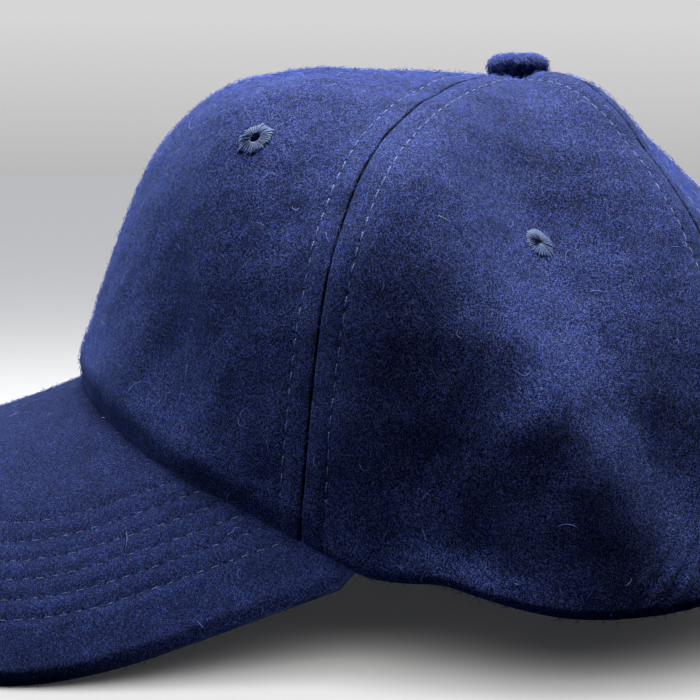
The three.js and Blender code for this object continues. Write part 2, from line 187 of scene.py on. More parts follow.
def pillow_faces(rows, columns, missing=None):
    """Quads of two grids that share their border; missing cells leave a hole with its own wall."""
    upper = np.arange(rows * columns).reshape(rows, columns)
    inside = np.zeros((rows, columns), bool)
    inside[1:-1, 1:-1] = True
    lower = upper.copy()
    lower[inside] = rows * columns + np.arange(inside.sum())
    kept = np.ones((rows - 1, columns - 1), bool) if missing is None else ~missing

    def cells(index, flip):
        quads = np.stack([index[:-1, :-1], index[:-1, 1:], index[1:, 1:], index[1:, :-1]], -1)[kept]
        return quads[:, ::-1] if flip else quads

    faces = [cells(upper, False), cells(lower, True)]
    if missing is not None:
        for one, other, shift in ((missing[1:], missing[:-1], (1, 0)),
                                  (missing[:, 1:], missing[:, :-1], (0, 1))):
            changes = one != other
            j, i = np.nonzero(changes)
            start, end = (j + shift[0], i + shift[1]), (j + 1, i + 1)
            wall = np.stack([upper[start], upper[end], lower[end], lower[start]], -1)
            turned = one[changes] == bool(shift[0])
            faces.append(np.where(turned[:, None], wall[:, [1, 0, 3, 2]], wall))
    return faces, inside


def both(upper, inside, lower=None):
    """The points of a pillow: the whole upper grid, then the lower one without its border. A map has
    one grid for both."""
    lower = upper if lower is None else lower
    return np.concatenate([upper.reshape(-1, upper.shape[-1]), lower[inside]])


def used_only(points, faces, extras):
    """Drops the points that no face uses, such as those inside a cut hole."""
    used = np.unique(np.concatenate([block.ravel() for block in faces]))
    place = np.full(len(points), -1)
    place[used] = np.arange(len(used))
    return points[used], [place[block] for block in faces], [extra[used] for extra in extras]


print("halfway up a rolled edge:", round(float(roll_off(0.5, 1.0)), 2), "of the thickness")

# %% [markdown]
# ## The crown's form
# Seven meridians describe the crown from front to back. Each is one cubic curve from the button
# to the rim, and a cosine series joins them into a smooth ring that is the same left and right.
# The same table made the solids, so the cloth lies where they are.

# %% Crown tables
CLOTH = 2.2
APEX = 119.7
SEAMS = (0, 53, 117.5, 180)
SECTION = {
    "roof_reach": [65, 63.5, 56, 38, 36.5, 30, 32.5],
    "roof_rise": [0.5, -2, -1, -1, 8, -3, -4],
    "wall_lean": [-19, -17, -5, -10, -9.5, -11.5, -12],
    "wall_rise": [84, 77, 70, 58, 59.5, 60, 61],
    "reach": [102, 99, 92, 94, 90.5, 91.5, 92],
    "rim": [47, 31, 26, 16.5, 17.5, -4, -3],
}
# turn, width, along, length, slant, out: each fold stands out (or sinks in) most at its middle
FOLDS = [
    (4, 28, 0.975, 0.03, 0, 1.2), (26, 12, 0.54, 0.21, 0, 5), (34, 7, 0.74, 0.14, 0, 1.6),
    (31, 6, 0.88, 0.09, 15, -2.2), (43, 6, 0.76, 0.12, 28, 0.8), (60, 9, 0.6, 0.2, 0, 6),
    (72, 8, 0.9, 0.12, 30, -2.4), (84, 11.5, 0.5, 0.17, 35, -4.6), (87, 7, 0.8, 0.12, 50, 3),
    (98, 5, 0.67, 0.1, 0, 1.6), (101, 6, 0.84, 0.09, 0, -2.4), (130, 12, 0.42, 0.1, 0, -3),
    (134, 8, 0.62, 0.16, 8, -2.4),
    (-36, 7, 0.78, 0.13, -16, -1.6), (-66, 9, 0.82, 0.16, -50, -2.2), (-88, 8, 0.84, 0.13, -35, 2.2),
    (-101, 7, 0.72, 0.14, 10, -2.2), (-140, 8, 0.6, 0.16, -6, -2.4),
]
HEM_START = 0.96
UNDERCUT, UNDERCUT_START, UNDERCUT_FULL, UNDERCUT_GONE = 1.6, 0.972, 42, 58
PUFF, PUFF_WIDTH = 0.7, 9
DIMPLE, DIMPLE_RADIUS = 0.8, 12
TIP_RADIUS = 12
APEX_HOLE = 5.6
BEND, SLOPE = 94.5, math.radians(19.4)
RIDGE_Y, RIDGE_HEIGHT = -106.8, 46.8
SEAT_GAP = 0.42
TEMPLE, TEMPLE_BLEND = 65, 14


def signed(turn):
    """A turn in degrees brought between -180 and 180: left is positive, the front is 0."""
    return (np.asarray(turn, float) + 180) % 360 - 180


def smooth(x, low, high):
    """An S-shaped step from 0 at low to 1 at high: 3t^2 - 2t^3."""
    t = np.clip((x - low) / (high - low), 0, 1)
    return t * t * (3 - 2 * t)


def ring(key, turn):
    """The cosine series that passes through the seven values, even from front to back."""
    values = np.array(SECTION[key], float)
    k = np.arange(len(values))
    share = np.where((k == 0) | (k == k[-1]), 0.5, 1.0)
    weight = (np.cos(np.pi * np.outer(k, k) / k[-1]) @ (share * values)) * share * 2 / k[-1]
    return (weight * np.cos(np.radians(turn)[..., None] * k)).sum(-1)


def rim_height(turn, x, y):
    """On the peak in front, free at the sides, and mixed between the two at the temples."""
    free = np.maximum(0, ring("rim", turn))
    side = np.abs(signed(turn))
    k = smooth((side - TEMPLE) / TEMPLE_BLEND + 0.5, 0, 1)
    lean = np.sqrt(np.maximum(0.02, 1 - (x / BEND) ** 2))
    board = RIDGE_HEIGHT + np.tan(SLOPE) * (y - RIDGE_Y) - BEND * (1 - lean) / np.cos(SLOPE)
    seat = SEAT_GAP / np.sqrt(np.maximum(0.1, 1 - (x / BEND) ** 2))  # the gap, measured upright
    return (board + seat) * (1 - k) + free * k


def crown_form(turn, along):
    """Meridian: a cubic curve with a handle for the roof and one for the wall, turned about Z."""
    turn, along = np.broadcast_arrays(np.asarray(turn, float), np.asarray(along, float))
    reach = ring("reach", turn)
    sin, cos = np.sin(np.radians(turn)), np.cos(np.radians(turn))
    rim = rim_height(turn, reach * sin, -reach * cos)
    back = 1 - along
    b0, b1, b2, b3 = back**3, 3 * along * back**2, 3 * along**2 * back, along**3
    out = b1 * ring("roof_reach", turn) + b2 * (reach + ring("wall_lean", turn)) + b3 * reach
    up = b0 * APEX + b1 * (APEX + ring("roof_rise", turn))
    up = up + b2 * (rim + ring("wall_rise", turn)) + b3 * rim
    return np.stack([out * sin, -out * cos, up], -1)


def crown_normal(turn, along):
    """Cross product of the steps down and round, turned towards +Z by the button."""
    turn, along = np.broadcast_arrays(np.asarray(turn, float), np.asarray(along, float))
    place = np.clip(along, 0.03, 0.98)
    down = crown_form(turn, place + 0.02) - crown_form(turn, place - 0.02)
    around = crown_form(turn + 1, place) - crown_form(turn - 1, place)
    normal = unit(np.cross(down, around))
    form = crown_form(turn, along)
    tip = np.exp(-(np.hypot(form[..., 0], form[..., 1]) / TIP_RADIUS) ** 2)[..., None]
    return unit(normal * (1 - tip) + np.array([0, 0, 1]) * tip)


def seam_distance(turn, radius):
    """Millimetres round the crown to the nearest seam."""
    side = np.abs(signed(turn))
    return np.radians(np.min([np.abs(side - seam) for seam in SEAMS], axis=0)) * radius


print("rim at the side:", round(float(crown_form(90.0, 1.0)[2]), 1), "mm up")

# %% [markdown]
# ## Folds, puffs and sewn lines
# The solids carry the main folds. The cloth adds what is too fine for them: lumps a finger wide,
# a groove where each row of topstitching pulls the wool down, and a little puckering between the
# stitches of a seam. Sums of sines and bell curves are enough, and they stay smooth at any size.

# %% Relief of the cloth
STITCH_OFF = 4.8
STITCH = 3.3


def undercut(turn):
    """How far the rim turns in over the peak: full in front, gone beyond the temples."""
    side = np.abs(signed(turn))
    return UNDERCUT * (1 - smooth(side, UNDERCUT_FULL, UNDERCUT_GONE))


def swell(turn, along):
    """The solids' own relief: puffed between seams, folded, turned in over the peak, dented on top."""
    form = crown_form(turn, along)
    radius = np.hypot(form[..., 0], form[..., 1])
    puff = PUFF * (1 - np.exp(-(seam_distance(turn, radius) / PUFF_WIDTH) ** 2))
    side = signed(turn)
    folds = 0
    for place, wide, where, long, slant, out in FOLDS:
        across = (side - place - slant * (along - where)) / wide
        folds = folds + out * np.exp(-((along - where) / long) ** 2 - across**2)
    dent = DIMPLE * np.exp(-(radius / DIMPLE_RADIUS) ** 2)
    hem = 1 - smooth(along, HEM_START, 1)
    turned_in = undercut(turn) * smooth(along, UNDERCUT_START, 1)
    return (puff - PUFF / 2) * smooth(along, 0.05, 0.3) + folds * hem - turned_in - dent


def lumps(points, sizes=(31, 19, 12.5), heights=(0.22, 0.14, 0.08), seed=4):
    """Uneven cloth: products of sines along three tilted directions, one set for each size."""
    rng = np.random.default_rng(seed)
    total = 0
    for size, height in zip(sizes, heights):
        turns = np.linalg.qr(rng.normal(size=(3, 3)))[0]
        shift = rng.uniform(0, 2 * np.pi, 3)
        waves = np.sin(points @ turns.T * (2 * np.pi / size) + shift)
        total = total + height * (waves[..., 0] * waves[..., 1] + waves[..., 1] * waves[..., 2])
    return total


# Slanting ridges where the cloth is bunched: turn, millimetres up, size, spacing, height
PLEATS = [(99, 8, 9, 3.6, 0.55), (-97, 9, 8, 4.0, 0.4), (84.5, 34, 15, 16, 0.5)]
RIM_DEGREE = 1.64  # millimetres round the rim for each degree
DOWN = 150  # millimetres from the button to the rim, about


def pleats(turn, along):
    """Each patch: cos of the distance across its ridges times a round bell curve."""
    side = signed(turn)
    total = 0
    for place, up, size, spacing, height in PLEATS:
        across, climb = (side - place) * RIM_DEGREE * np.sign(place), (1 - along) * DOWN - up
        ridge = np.cos((across - climb) / math.sqrt(2) * 2 * np.pi / spacing)
        total = total + height * ridge * np.exp(-(across**2 + climb**2) / size**2)
    return total


def relief(turn, along):
    """What the cloth adds to the solids: lumps, grooves under the topstitching, soft shoulders."""
    form = crown_form(turn, along)
    away = seam_distance(turn, np.hypot(form[..., 0], form[..., 1]))
    groove = -0.16 * np.exp(-((away - STITCH_OFF) / 0.8) ** 2)
    shoulder = 0.1 * np.exp(-((away - 2.4) / 1.4) ** 2)
    calm = smooth(along, 0.08, 0.3)
    return calm * (lumps(form) + groove + shoulder + pleats(turn, along))


def crown_point(turn, along, depth=0.0):
    """A point of the cloth, depth millimetres under its outer face; the last one lies on the rim."""
    turn, along = np.broadcast_arrays(np.asarray(turn, float), np.asarray(along, float))
    out = swell(turn, along) + relief(turn, along) - depth
    point = crown_form(turn, along) + crown_normal(turn, along) * out[..., None]
    height = rim_height(turn, point[..., 0], point[..., 1])
    point[..., 2] = np.where(along >= 1, height, point[..., 2])
    return point


def cloth_normal(turn, along):
    """The way out of the folded cloth: cross product of a step down it and a step round it."""
    down = crown_point(turn, along + 0.02) - crown_point(turn, along - 0.02)
    around = crown_point(turn + 2.0, along) - crown_point(turn - 2.0, along)
    return unit(np.cross(down, around))


def along_where(turn, test):
    """Halves the meridian again and again until the test's answer changes there."""
    low, high = np.zeros_like(turn, float), np.ones_like(turn, float)
    for _ in range(24):
        middle = (low + high) / 2
        before = test(crown_form(turn, middle))
        low, high = np.where(before, middle, low), np.where(before, high, middle)
    return high


print("relief at one place:", round(float(relief(80.0, 0.6)), 2), "mm")

# %% [markdown]
# ## Materials for wool
# Melton wool is felted: short fibres lie in all directions over darker gaps. A plain noise looks
# like stone, so the fibres are drawn one by one. A Voronoi pattern gives each cell a centre and a
# random colour; the colour turns the cell's own axes, and a long thin bell curve along them is one
# fibre. Several layers of different cell sizes lie over each other, as felted wool does.

# %% Node helpers
def new_material(name):
    """An empty material with its Principled shader and its tree."""
    material = bpy.data.materials.new(name)
    material.use_nodes = True
    tree = material.node_tree
    shader = next(n for n in tree.nodes if n.type == "BSDF_PRINCIPLED")
    return material, tree, shader


def add(tree, kind, *inputs, **settings):
    """A node with its settings, and its inputs linked to outputs or set to values in order."""
    made = tree.nodes.new(kind)
    for key, value in settings.items():
        setattr(made, key, value)
    for socket, value in zip(made.inputs, inputs):
        if value is None:
            continue
        if isinstance(value, bpy.types.NodeSocket):
            tree.links.new(value, socket)
        else:
            socket.default_value = value
    return made


def sum_of(tree, operation, *inputs, clamp=False):
    """The answer of one Math node."""
    return add(tree, "ShaderNodeMath", *inputs, operation=operation, use_clamp=clamp).outputs[0]


def bell(tree, value, width):
    """exp(-(value / width)^2) of a socket."""
    square = sum_of(tree, "POWER", sum_of(tree, "ABSOLUTE", sum_of(tree, "DIVIDE", value, width)), 2.0)
    return sum_of(tree, "POWER", math.e, sum_of(tree, "MULTIPLY", square, -1.0))


def blend(tree, share, first, second):
    """A mix of two colours, sockets or values."""
    made = tree.nodes.new("ShaderNodeMix")
    made.data_type = "RGBA"
    for socket, value in zip((made.inputs[0], made.inputs[6], made.inputs[7]), (share, first, second)):
        if isinstance(value, bpy.types.NodeSocket):
            tree.links.new(value, socket)
        else:
            socket.default_value = value
    return made.outputs[2]


def noise(tree, scale, detail=2, vector=None):
    """A noise from 0 to 1, over the object's own metres unless a vector is given."""
    vector = vector or add(tree, "ShaderNodeTexCoord").outputs["Object"]
    return add(tree, "ShaderNodeTexNoise", vector, None, scale, detail).outputs[0]


def split_map(tree, name):
    """The numbers of one of the mesh's maps: across and along, in millimetres or in stitches."""
    found = add(tree, "ShaderNodeUVMap", uv_map=name)
    return add(tree, "ShaderNodeSeparateXYZ", found.outputs[0]).outputs


def surface(tree, shader, colour, height=None, strength=0.0, distance=0.0, **values):
    """Links the colour and the bump, and sets the shader's plain numbers."""
    tree.links.new(colour, shader.inputs["Base Color"])
    if height is not None:
        bump = add(tree, "ShaderNodeBump", strength, distance)
        tree.links.new(height, bump.inputs["Height"])
        tree.links.new(bump.outputs[0], shader.inputs["Normal"])
    for key, value in values.items():
        shader.inputs[key.replace("_", " ")].default_value = value


def fibre_layer(tree, place, cell, angle, reach, width):
    """One fibre in each Voronoi cell: (its height 0..1, its own random brightness 0..1)."""
    mapped = add(tree, "ShaderNodeMapping", place, (angle * 3.1, angle * 7.7, 0), (0, 0, angle),
                 (1 / cell, 1 / cell, 1)).outputs[0]
    cells = add(tree, "ShaderNodeTexVoronoi", mapped, None, 1, voronoi_dimensions="2D", feature="F1")
    chance = add(tree, "ShaderNodeSeparateColor", cells.outputs["Color"]).outputs
    off = add(tree, "ShaderNodeVectorMath", mapped, cells.outputs["Position"], operation="SUBTRACT")
    spin = add(tree, "ShaderNodeVectorRotate", off.outputs[0], rotation_type="Z_AXIS")
    tree.links.new(sum_of(tree, "MULTIPLY", chance[0], 2 * math.pi), spin.inputs["Angle"])
    own = add(tree, "ShaderNodeSeparateXYZ", spin.outputs[0]).outputs
    curl = sum_of(tree, "MULTIPLY", sum_of(tree, "MULTIPLY", own[0], own[0]),
                  sum_of(tree, "SUBTRACT", chance[1], 0.5))
    side = sum_of(tree, "ADD", own[1], sum_of(tree, "MULTIPLY", curl, 1.6))
    height = sum_of(tree, "MULTIPLY", bell(tree, side, width), bell(tree, own[0], reach))
    return height, chance[2]


# cell, angle, reach, width of the fibres of each layer
FIBRE_LAYERS = [(0.74, 0.3, 0.46, 0.085), (0.6, 1.1, 0.46, 0.09), (0.5, 2.0, 0.46, 0.1),
                (0.41, 2.9, 0.46, 0.11), (0.34, 4.1, 0.46, 0.12), (0.29, 5.2, 0.46, 0.14)]
print("fibre layers:", len(FIBRE_LAYERS))

# %% [markdown]
# Wool is the fibres over a gritty dark ground, with patches of uneven dye. On the crown the colour is
# also painted paler where the relief slopes up and darker where it slopes down, a painted light and
# shade that the mesh brings as a number worked out from the slope of its relief. The needle's holes
# and the fold of a seam are painted dark as shade, from the sewing map. Pressed wool, on the peak,
# is the same with flatter and duller fibres.

# %% Wool material
def wool(name, dark, middle, bright, sheen):
    """Felted fibres over dark gaps, patchy dye, painted light and shade by the crown's slope, and painted
    shade in the holes where the needle went through and in the fold of each seam.
    """
    material, tree, shader = new_material(name)
    place = add(tree, "ShaderNodeUVMap", uv_map="cloth").outputs[0]
    sewn = split_map(tree, "sewing")
    patches, grit = noise(tree, 140, 4), noise(tree, 2600)
    colour = blend(tree, sum_of(tree, "MULTIPLY_ADD", grit, 2.2, -0.62, clamp=True), dark, middle)
    height = sum_of(tree, "MULTIPLY", grit, 0.5)
    for cell, angle, reach, width in FIBRE_LAYERS:
        lies, tone = fibre_layer(tree, place, cell, angle, reach, width)
        own = blend(tree, sum_of(tree, "POWER", tone, 2.8), dark, bright)
        colour = blend(tree, sum_of(tree, "MULTIPLY_ADD", lies, 1.5, -0.25, clamp=True), colour, own)
        height = sum_of(tree, "MAXIMUM", height, sum_of(tree, "MULTIPLY_ADD", tone, 0.4, sum_of(
            tree, "MULTIPLY_ADD", lies, 1.0, -0.45)))
    # Painted light and shade: the colour is scaled up where the crown's relief slopes up and down where
    # it slopes down.
    slope_shade = add(tree, "ShaderNodeAttribute", attribute_name="slope_shade").outputs["Fac"]
    even = sum_of(tree, "MULTIPLY_ADD", patches, 1.1, 0.42)
    shade = sum_of(tree, "MULTIPLY_ADD", even, slope_shade, even)
    colour = add(tree, "ShaderNodeVectorMath", colour, operation="SCALE")
    tree.links.new(shade, colour.inputs["Scale"])
    # Painted shade: the needle's holes and the fold where two panels meet are darkened to near black.
    row = bell(tree, sewn[0], 0.34)
    step = sum_of(tree, "ABSOLUTE", sum_of(tree, "SUBTRACT", sum_of(tree, "FRACT", sewn[1]), 0.5))
    hole = sum_of(tree, "MULTIPLY", row, bell(tree, sum_of(tree, "SUBTRACT", step, 0.5), 0.11))
    wander = sum_of(tree, "MULTIPLY_ADD", patches, 1.6, -0.8)
    crease = bell(tree, sum_of(tree, "ADD", sum_of(tree, "ADD", sewn[0], STITCH_OFF), wander), 0.3)
    shadow = sum_of(tree, "MULTIPLY", sum_of(tree, "MAXIMUM", hole, crease), 0.92)
    finished = blend(tree, shadow, colour.outputs[0], (0.0002, 0.0003, 0.001, 1))
    height = sum_of(tree, "MULTIPLY_ADD", hole, -2.4, height)
    surface(tree, shader, finished, height, 0.55, 0.00022, Roughness=0.92, Specular_IOR_Level=0.06,
            Sheen_Weight=sheen, Sheen_Roughness=0.4, Sheen_Tint=SHEEN_TINT)
    return material


SHEEN_TINT = (0.24, 0.38, 1.0, 1)
NAVY = [(0.0001, 0.0003, 0.0033, 1), (0.0031, 0.0063, 0.043, 1), (0.095, 0.135, 0.385, 1)]
FLAT_NAVY = [(0.0003, 0.0007, 0.0055, 1), (0.0028, 0.0058, 0.035, 1), (0.034, 0.053, 0.182, 1)]
WOOL = wool("wool", *NAVY, sheen=0.16)
# A copy of the wool without sheen: painted shade for the fold of a seam, where no light reaches.
WOOL_SHADED_CREASE = wool("wool_shaded_crease", *NAVY, sheen=0.0)
PEAK_WOOL = wool("wool_pressed", *FLAT_NAVY, sheen=0.1)
print("wool:", [made.name for made in (WOOL, WOOL_SHADED_CREASE, PEAK_WOOL)])

# %% [markdown]
# ## Materials for loose fibres and for thread
# The nap that stands off the cloth is made of real little strands further on. Each carries a
# number, its tone, so one material can dye a few of them pale and most of them navy. Sewing
# thread is smoother: two plies twisted together, which a slanted wave shows well, with painted
# shade in the troughs between the plies.

# %% Fibre, thread, band and metal materials
def strands(name, dark, bright, pale):
    """Strands coloured by their own tone: navy for most, bright blue for some, pale for a few."""
    material, tree, shader = new_material(name)
    tone = add(tree, "ShaderNodeAttribute", attribute_name="tone").outputs["Fac"]
    low = blend(tree, sum_of(tree, "MULTIPLY", tone, 1.12, clamp=True), dark, bright)
    rare = sum_of(tree, "MULTIPLY_ADD", tone, 20.0, -19.0, clamp=True)
    surface(tree, shader, blend(tree, rare, low, pale), Roughness=0.9, Specular_IOR_Level=0.1,
            Sheen_Weight=0.08, Sheen_Roughness=0.4, Sheen_Tint=SHEEN_TINT)
    return material


def colour_times(colour, factor):
    """A colour made darker or brighter."""
    return [c * factor for c in colour[:3]] + [1]


def thread(name, colour, shine, turns, depth=0.22):
    """Twisted plies: a slanted wave over the thread's own map (round, along) in millimetres, its troughs
    painted darker as shade between the plies.
    """
    material, tree, shader = new_material(name)
    own = split_map(tree, "cloth")
    slant = sum_of(tree, "MULTIPLY_ADD", own[1], turns, sum_of(tree, "MULTIPLY", own[0], 6.2832))
    lay = sum_of(tree, "SINE", slant)
    share = sum_of(tree, "MULTIPLY_ADD", lay, depth, noise(tree, 700), clamp=True)
    surface(tree, shader, blend(tree, share, colour_times(colour, 0.2), colour), lay, 0.6, 0.00008,
            Roughness=0.55, Specular_IOR_Level=shine)
    return material


def twill(name, colour):
    """Woven cotton: fine slanted ribs with a thread crossing them, slightly faded in patches."""
    material, tree, shader = new_material(name)
    own = split_map(tree, "cloth")
    diagonal = sum_of(tree, "ADD", own[0], own[1])
    ribs = sum_of(tree, "SINE", sum_of(tree, "MULTIPLY", diagonal, 2 * math.pi / 0.8))
    cross = sum_of(tree, "SINE", sum_of(tree, "MULTIPLY", own[0], 2 * math.pi / 0.45))
    woven = sum_of(tree, "MULTIPLY_ADD", cross, 0.35, ribs)
    share = sum_of(tree, "MULTIPLY_ADD", woven, 0.16, noise(tree, 160), clamp=True)
    surface(tree, shader, blend(tree, share, colour_times(colour, 0.4), colour_times(colour, 1.5)), woven, 0.5, 0.00012,
            Roughness=0.85, Sheen_Weight=0.15)
    return material


def satin_metal(name):
    """Plated wire: fine lines from brushing, a little darker and rougher where it is rubbed."""
    material, tree, shader = new_material(name)
    spot = add(tree, "ShaderNodeTexCoord").outputs["Object"]
    drawn = add(tree, "ShaderNodeMapping", spot, (0, 0, 0), (0, 0, 0), (90, 90, 1800)).outputs[0]
    lines = noise(tree, 1, vector=drawn)
    tree.links.new(sum_of(tree, "MULTIPLY_ADD", lines, 0.25, 0.2), shader.inputs["Roughness"])
    surface(tree, shader, blend(tree, lines, (0.34, 0.33, 0.32, 1), (0.6, 0.59, 0.57, 1)), Metallic=1)
    return material


NAVY_STRANDS = strands("wool_strands", (0.0008, 0.0014, 0.011, 1), (0.03, 0.052, 0.25, 1),
                       (0.09, 0.12, 0.28, 1))
PRESSED_STRANDS = strands("wool_strands_pressed", (0.0006, 0.001, 0.007, 1), (0.012, 0.02, 0.085, 1),
                          (0.06, 0.08, 0.18, 1))
HAIR = strands("wool_hairs", (0.04, 0.06, 0.22, 1), (0.17, 0.21, 0.45, 1), (0.4, 0.42, 0.55, 1))
SEAM_THREAD = thread("seam_thread", (0.17, 0.22, 0.44, 1), shine=0.1, turns=9.0)
PEAK_THREAD = thread("peak_thread", (0.075, 0.095, 0.185, 1), shine=0.1, turns=9.0)
# The eyelet's deeper wave, one for each thread, paints shade between its wound threads.
EYELET_THREAD = thread("eyelet_thread", (0.06, 0.09, 0.19, 1), shine=0.1, turns=0.0, depth=0.65)
BAND_COTTON = twill("sweatband_cotton", (0.008, 0.011, 0.035, 1))
SLIDE_METAL = satin_metal("buckle_metal")
print("materials:", len(bpy.data.materials))

# %% [markdown]
# ## Nap
# Wool shows its fibres most against the light, so a smooth shell never looks like it. A hair
# system would work in Blender but is lost in other programs, so the strands are meshes: a point
# under the cloth, three points round the strand's middle, and its tip, which is six triangles.
# They are scattered by area over the grid of a finished face, and most lie nearly flat.

# %% Nap
OWN_LIGHT = 0.25  # how far a strand is lit by its own shape, and not by that of the cloth


def scatter(grid, inside, count, rng, keep=None):
    """Random places on a grid (rows, columns, 3), even by area: points and normals away from inside."""
    a, b, c, d = grid[:-1, :-1], grid[:-1, 1:], grid[1:, 1:], grid[1:, :-1]
    facing = np.cross(c - a, d - b)
    area = np.linalg.norm(facing, axis=-1) * (1 if keep is None else keep)
    pick = rng.choice(area.size, count, p=area.ravel() / area.sum())
    s, t = rng.random((2, count, 1))
    a, b, c, d, facing = (v.reshape(-1, 3)[pick] for v in (a, b, c, d, facing))
    root = (a * (1 - s) + b * s) * (1 - t) + (d * (1 - s) + c * s) * t
    normal = unit(facing)
    return root, normal * np.sign(((root - inside) * normal).sum(-1, keepdims=True))


def nap(name, grid, inside, count, seed, keep=None, size=1.0, material=None):
    """Bent spindles scattered on a grid, pointing away from the inside point."""
    rng = np.random.default_rng(seed)
    root, normal = scatter(grid, inside, count, rng, keep)
    side = unit(np.cross(normal, rng.normal(size=(count, 3))))
    chance = rng.random((count, 1))
    flat = chance < 0.8
    steepness = np.where(flat, rng.uniform(3, 20, (count, 1)), rng.uniform(22, 66, (count, 1)))
    rise = np.radians(steepness)
    tone = rng.random((count, 1))
    rare = tone > 0.985
    length = size * np.where(flat, rng.uniform(1.1, 2.9, (count, 1)), rng.uniform(0.7, 1.7, (count, 1)))
    length = np.where(rare, length * 1.5, length)
    bend = np.cross(normal, side) * rng.normal(0, 0.13, (count, 1)) * length
    level, lift = side * np.cos(rise), normal * np.sin(rise)
    tip = root + length * (level + lift * rng.uniform(0.5, 1, (count, 1))) + bend
    middle = root + 0.5 * length * (level + lift) - bend + normal * 0.07
    first = unit(np.cross(tip - root, normal))
    second = unit(np.cross(tip - root, first))
    wide = np.where(rare, 0.035, rng.uniform(0.035, 0.062, (count, 1)))
    spokes = [first * math.cos(k) + second * math.sin(k) for k in THIRDS]
    points = np.stack([root - normal * 0.12, *[middle + wide * spoke for spoke in spokes], tip], 1)
    wheel = np.array([[0, 2, 1], [0, 3, 2], [0, 1, 3], [4, 1, 2], [4, 2, 3], [4, 3, 1]])
    faces = (np.arange(count)[:, None, None] * 5 + wheel).reshape(-1, 3)
    own = np.stack([normal, *[unit(spoke) for spoke in spokes], unit(tip - middle)], 1)
    lit = unit(normal[:, None] * (1 - OWN_LIGHT) + own * OWN_LIGHT)
    return build(name, points, [faces], material or NAVY_STRANDS,
                 values={"tone": np.repeat(tone, 5, axis=1)}, normals=lit)


print("faces of a strand:", 6)

# %% [markdown]
# ## The six panels
# Each panel is cut like an orange segment. Front and side panels run from the button to the rim;
# the back ones end on an arch over the strap. So every column of a panel's grid is a line from the
# button to a point of its lower edge, whatever that edge looks like.

# %% Lower edges
ARCH = {"half": 43.0, "shoulder": 8.0, "height": 46.0}


def straight_foot(start, end):
    """The rim between two turns."""
    turn = np.linspace(start, end, 200)
    return turn, np.ones_like(turn)


def arched_foot(start, end):
    """The rim up to the arch's foot, its upright shoulder, then the half ellipse over the strap."""
    climb = np.linspace(0.4, ARCH["shoulder"], 8)[:-1]
    angle = np.linspace(0, np.pi / 2, 120)
    x = ARCH["half"] * np.concatenate([np.ones_like(climb), np.cos(angle)])
    z = np.concatenate([climb, ARCH["shoulder"] + (ARCH["height"] - ARCH["shoulder"]) * np.sin(angle)])
    turn = 180 - np.degrees(np.arcsin(x / SECTION["reach"][-1]))
    for _ in range(10):
        along = along_where(turn, lambda form: form[..., 2] > z)
        form = crown_form(turn, along)
        turn = 180 - np.degrees(np.arcsin(np.clip(x / np.hypot(form[..., 0], form[..., 1]), -1, 1)))
    lead = np.linspace(abs(start), turn[0], 120)[:-1]
    turn, along = np.concatenate([lead, turn]), np.concatenate([np.ones_like(lead), along])
    return turn * np.sign(start), along


print("arch:", 2 * ARCH["half"], "mm wide,", ARCH["height"], "mm high")

# %% [markdown]
# The grid of a panel is close-meshed by the seams, where the cloth rolls over, and wider between
# them. Each panel has a round hole where its eyelet is worked: the grid cells inside are left out
# and the points round them are drawn onto the circle.

# %% Grid and hole of a panel
HOLE = 2.1
CORNERS = ((0, 0), (0, 1), (1, 0), (1, 1))


def panel_grid(start, end, foot):
    """Turns and alongs of straight lines from the button's hole to the foot, rows by columns."""
    foot_turn, foot_along = foot(start, end)
    gone = walked(crown_form(foot_turn, foot_along))
    s = spaced(gone[-1], 0.6, 0.62, 1.9, 7.4)
    v = spaced(DOWN, 1.8, 1.1, 1.9, 9)
    low_turn = np.interp(s * gone[-1], gone, foot_turn)
    low_along = np.interp(s * gone[-1], gone, foot_along)
    top_turn = start + (end - start) * s
    top_along = along_where(top_turn, lambda form: np.hypot(form[..., 0], form[..., 1]) < APEX_HOLE)
    turn = top_turn + (low_turn - top_turn) * v[:, None]
    return turn, top_along + (low_along - top_along) * v[:, None]


def eyelet_hole(middle, turn, along):
    """Cells with two corners or more inside the circle, and the steps that draw the rest onto it."""
    pointing = cloth_normal(turn, along)
    off = middle - crown_point(turn, along, CLOTH / 2)
    flat = off - (off @ pointing)[..., None] * pointing
    far = np.linalg.norm(flat, axis=-1)
    rows, columns = far.shape[0] - 1, far.shape[1] - 1
    corners = [(far < HOLE)[j:j + rows, i:i + columns] for j, i in CORNERS]
    missing = np.sum(corners, axis=0) > 1
    touches = np.zeros(far.shape, int)
    for j, i in CORNERS:
        touches[j:j + rows, i:i + columns] += missing
    edge = (touches > 0) & (touches < len(CORNERS))
    return far, missing, np.where(edge, (HOLE - far) / np.maximum(far, 0.1), 0)[..., None] * flat


def seam_length(seam):
    """Millimetres down a seam's meridian, as a table against along."""
    along = np.linspace(0, 1, 400)
    return along, walked(crown_form(np.full(400, float(seam)), along))


print("front seam:", round(float(seam_length(0)[1][-1]), 1), "mm long")

# %% [markdown]
# A panel is then a pillow: the cloth's outer face, half the cloth's thickness either side of a
# middle surface, a thicker hem at the foot. It takes three maps along: the cloth's, the sewing's
# and the painted slope shade. The strip that folds into the seam gets a copy of the wool without
# sheen, a painted shade where no light reaches. Nap and loose hairs are kept away from the hole,
# the stitches and the fold.

# %% Panels
EYELETS = {"front": (33, 0.567), "side": (85, 0.525), "back": (148, 0.52)}
HEM, HEM_EXTRA = 13.0, 0.55
CREASE = 0.3
# how strongly the slope of the crown's relief paints light and shade into its colour
SLOPE_SHADE_GAIN = 1.3
HEAD_MIDDLE = np.array([0, 0, 45.0])
PANEL_STRANDS, PANEL_HAIRS = 9500, 46
HAIR_GROUNDS = []


def cell_mean(grid):
    """A value for each cell of a grid, from two opposite corners."""
    return (grid[:-1, :-1] + grid[1:, 1:]) / 2


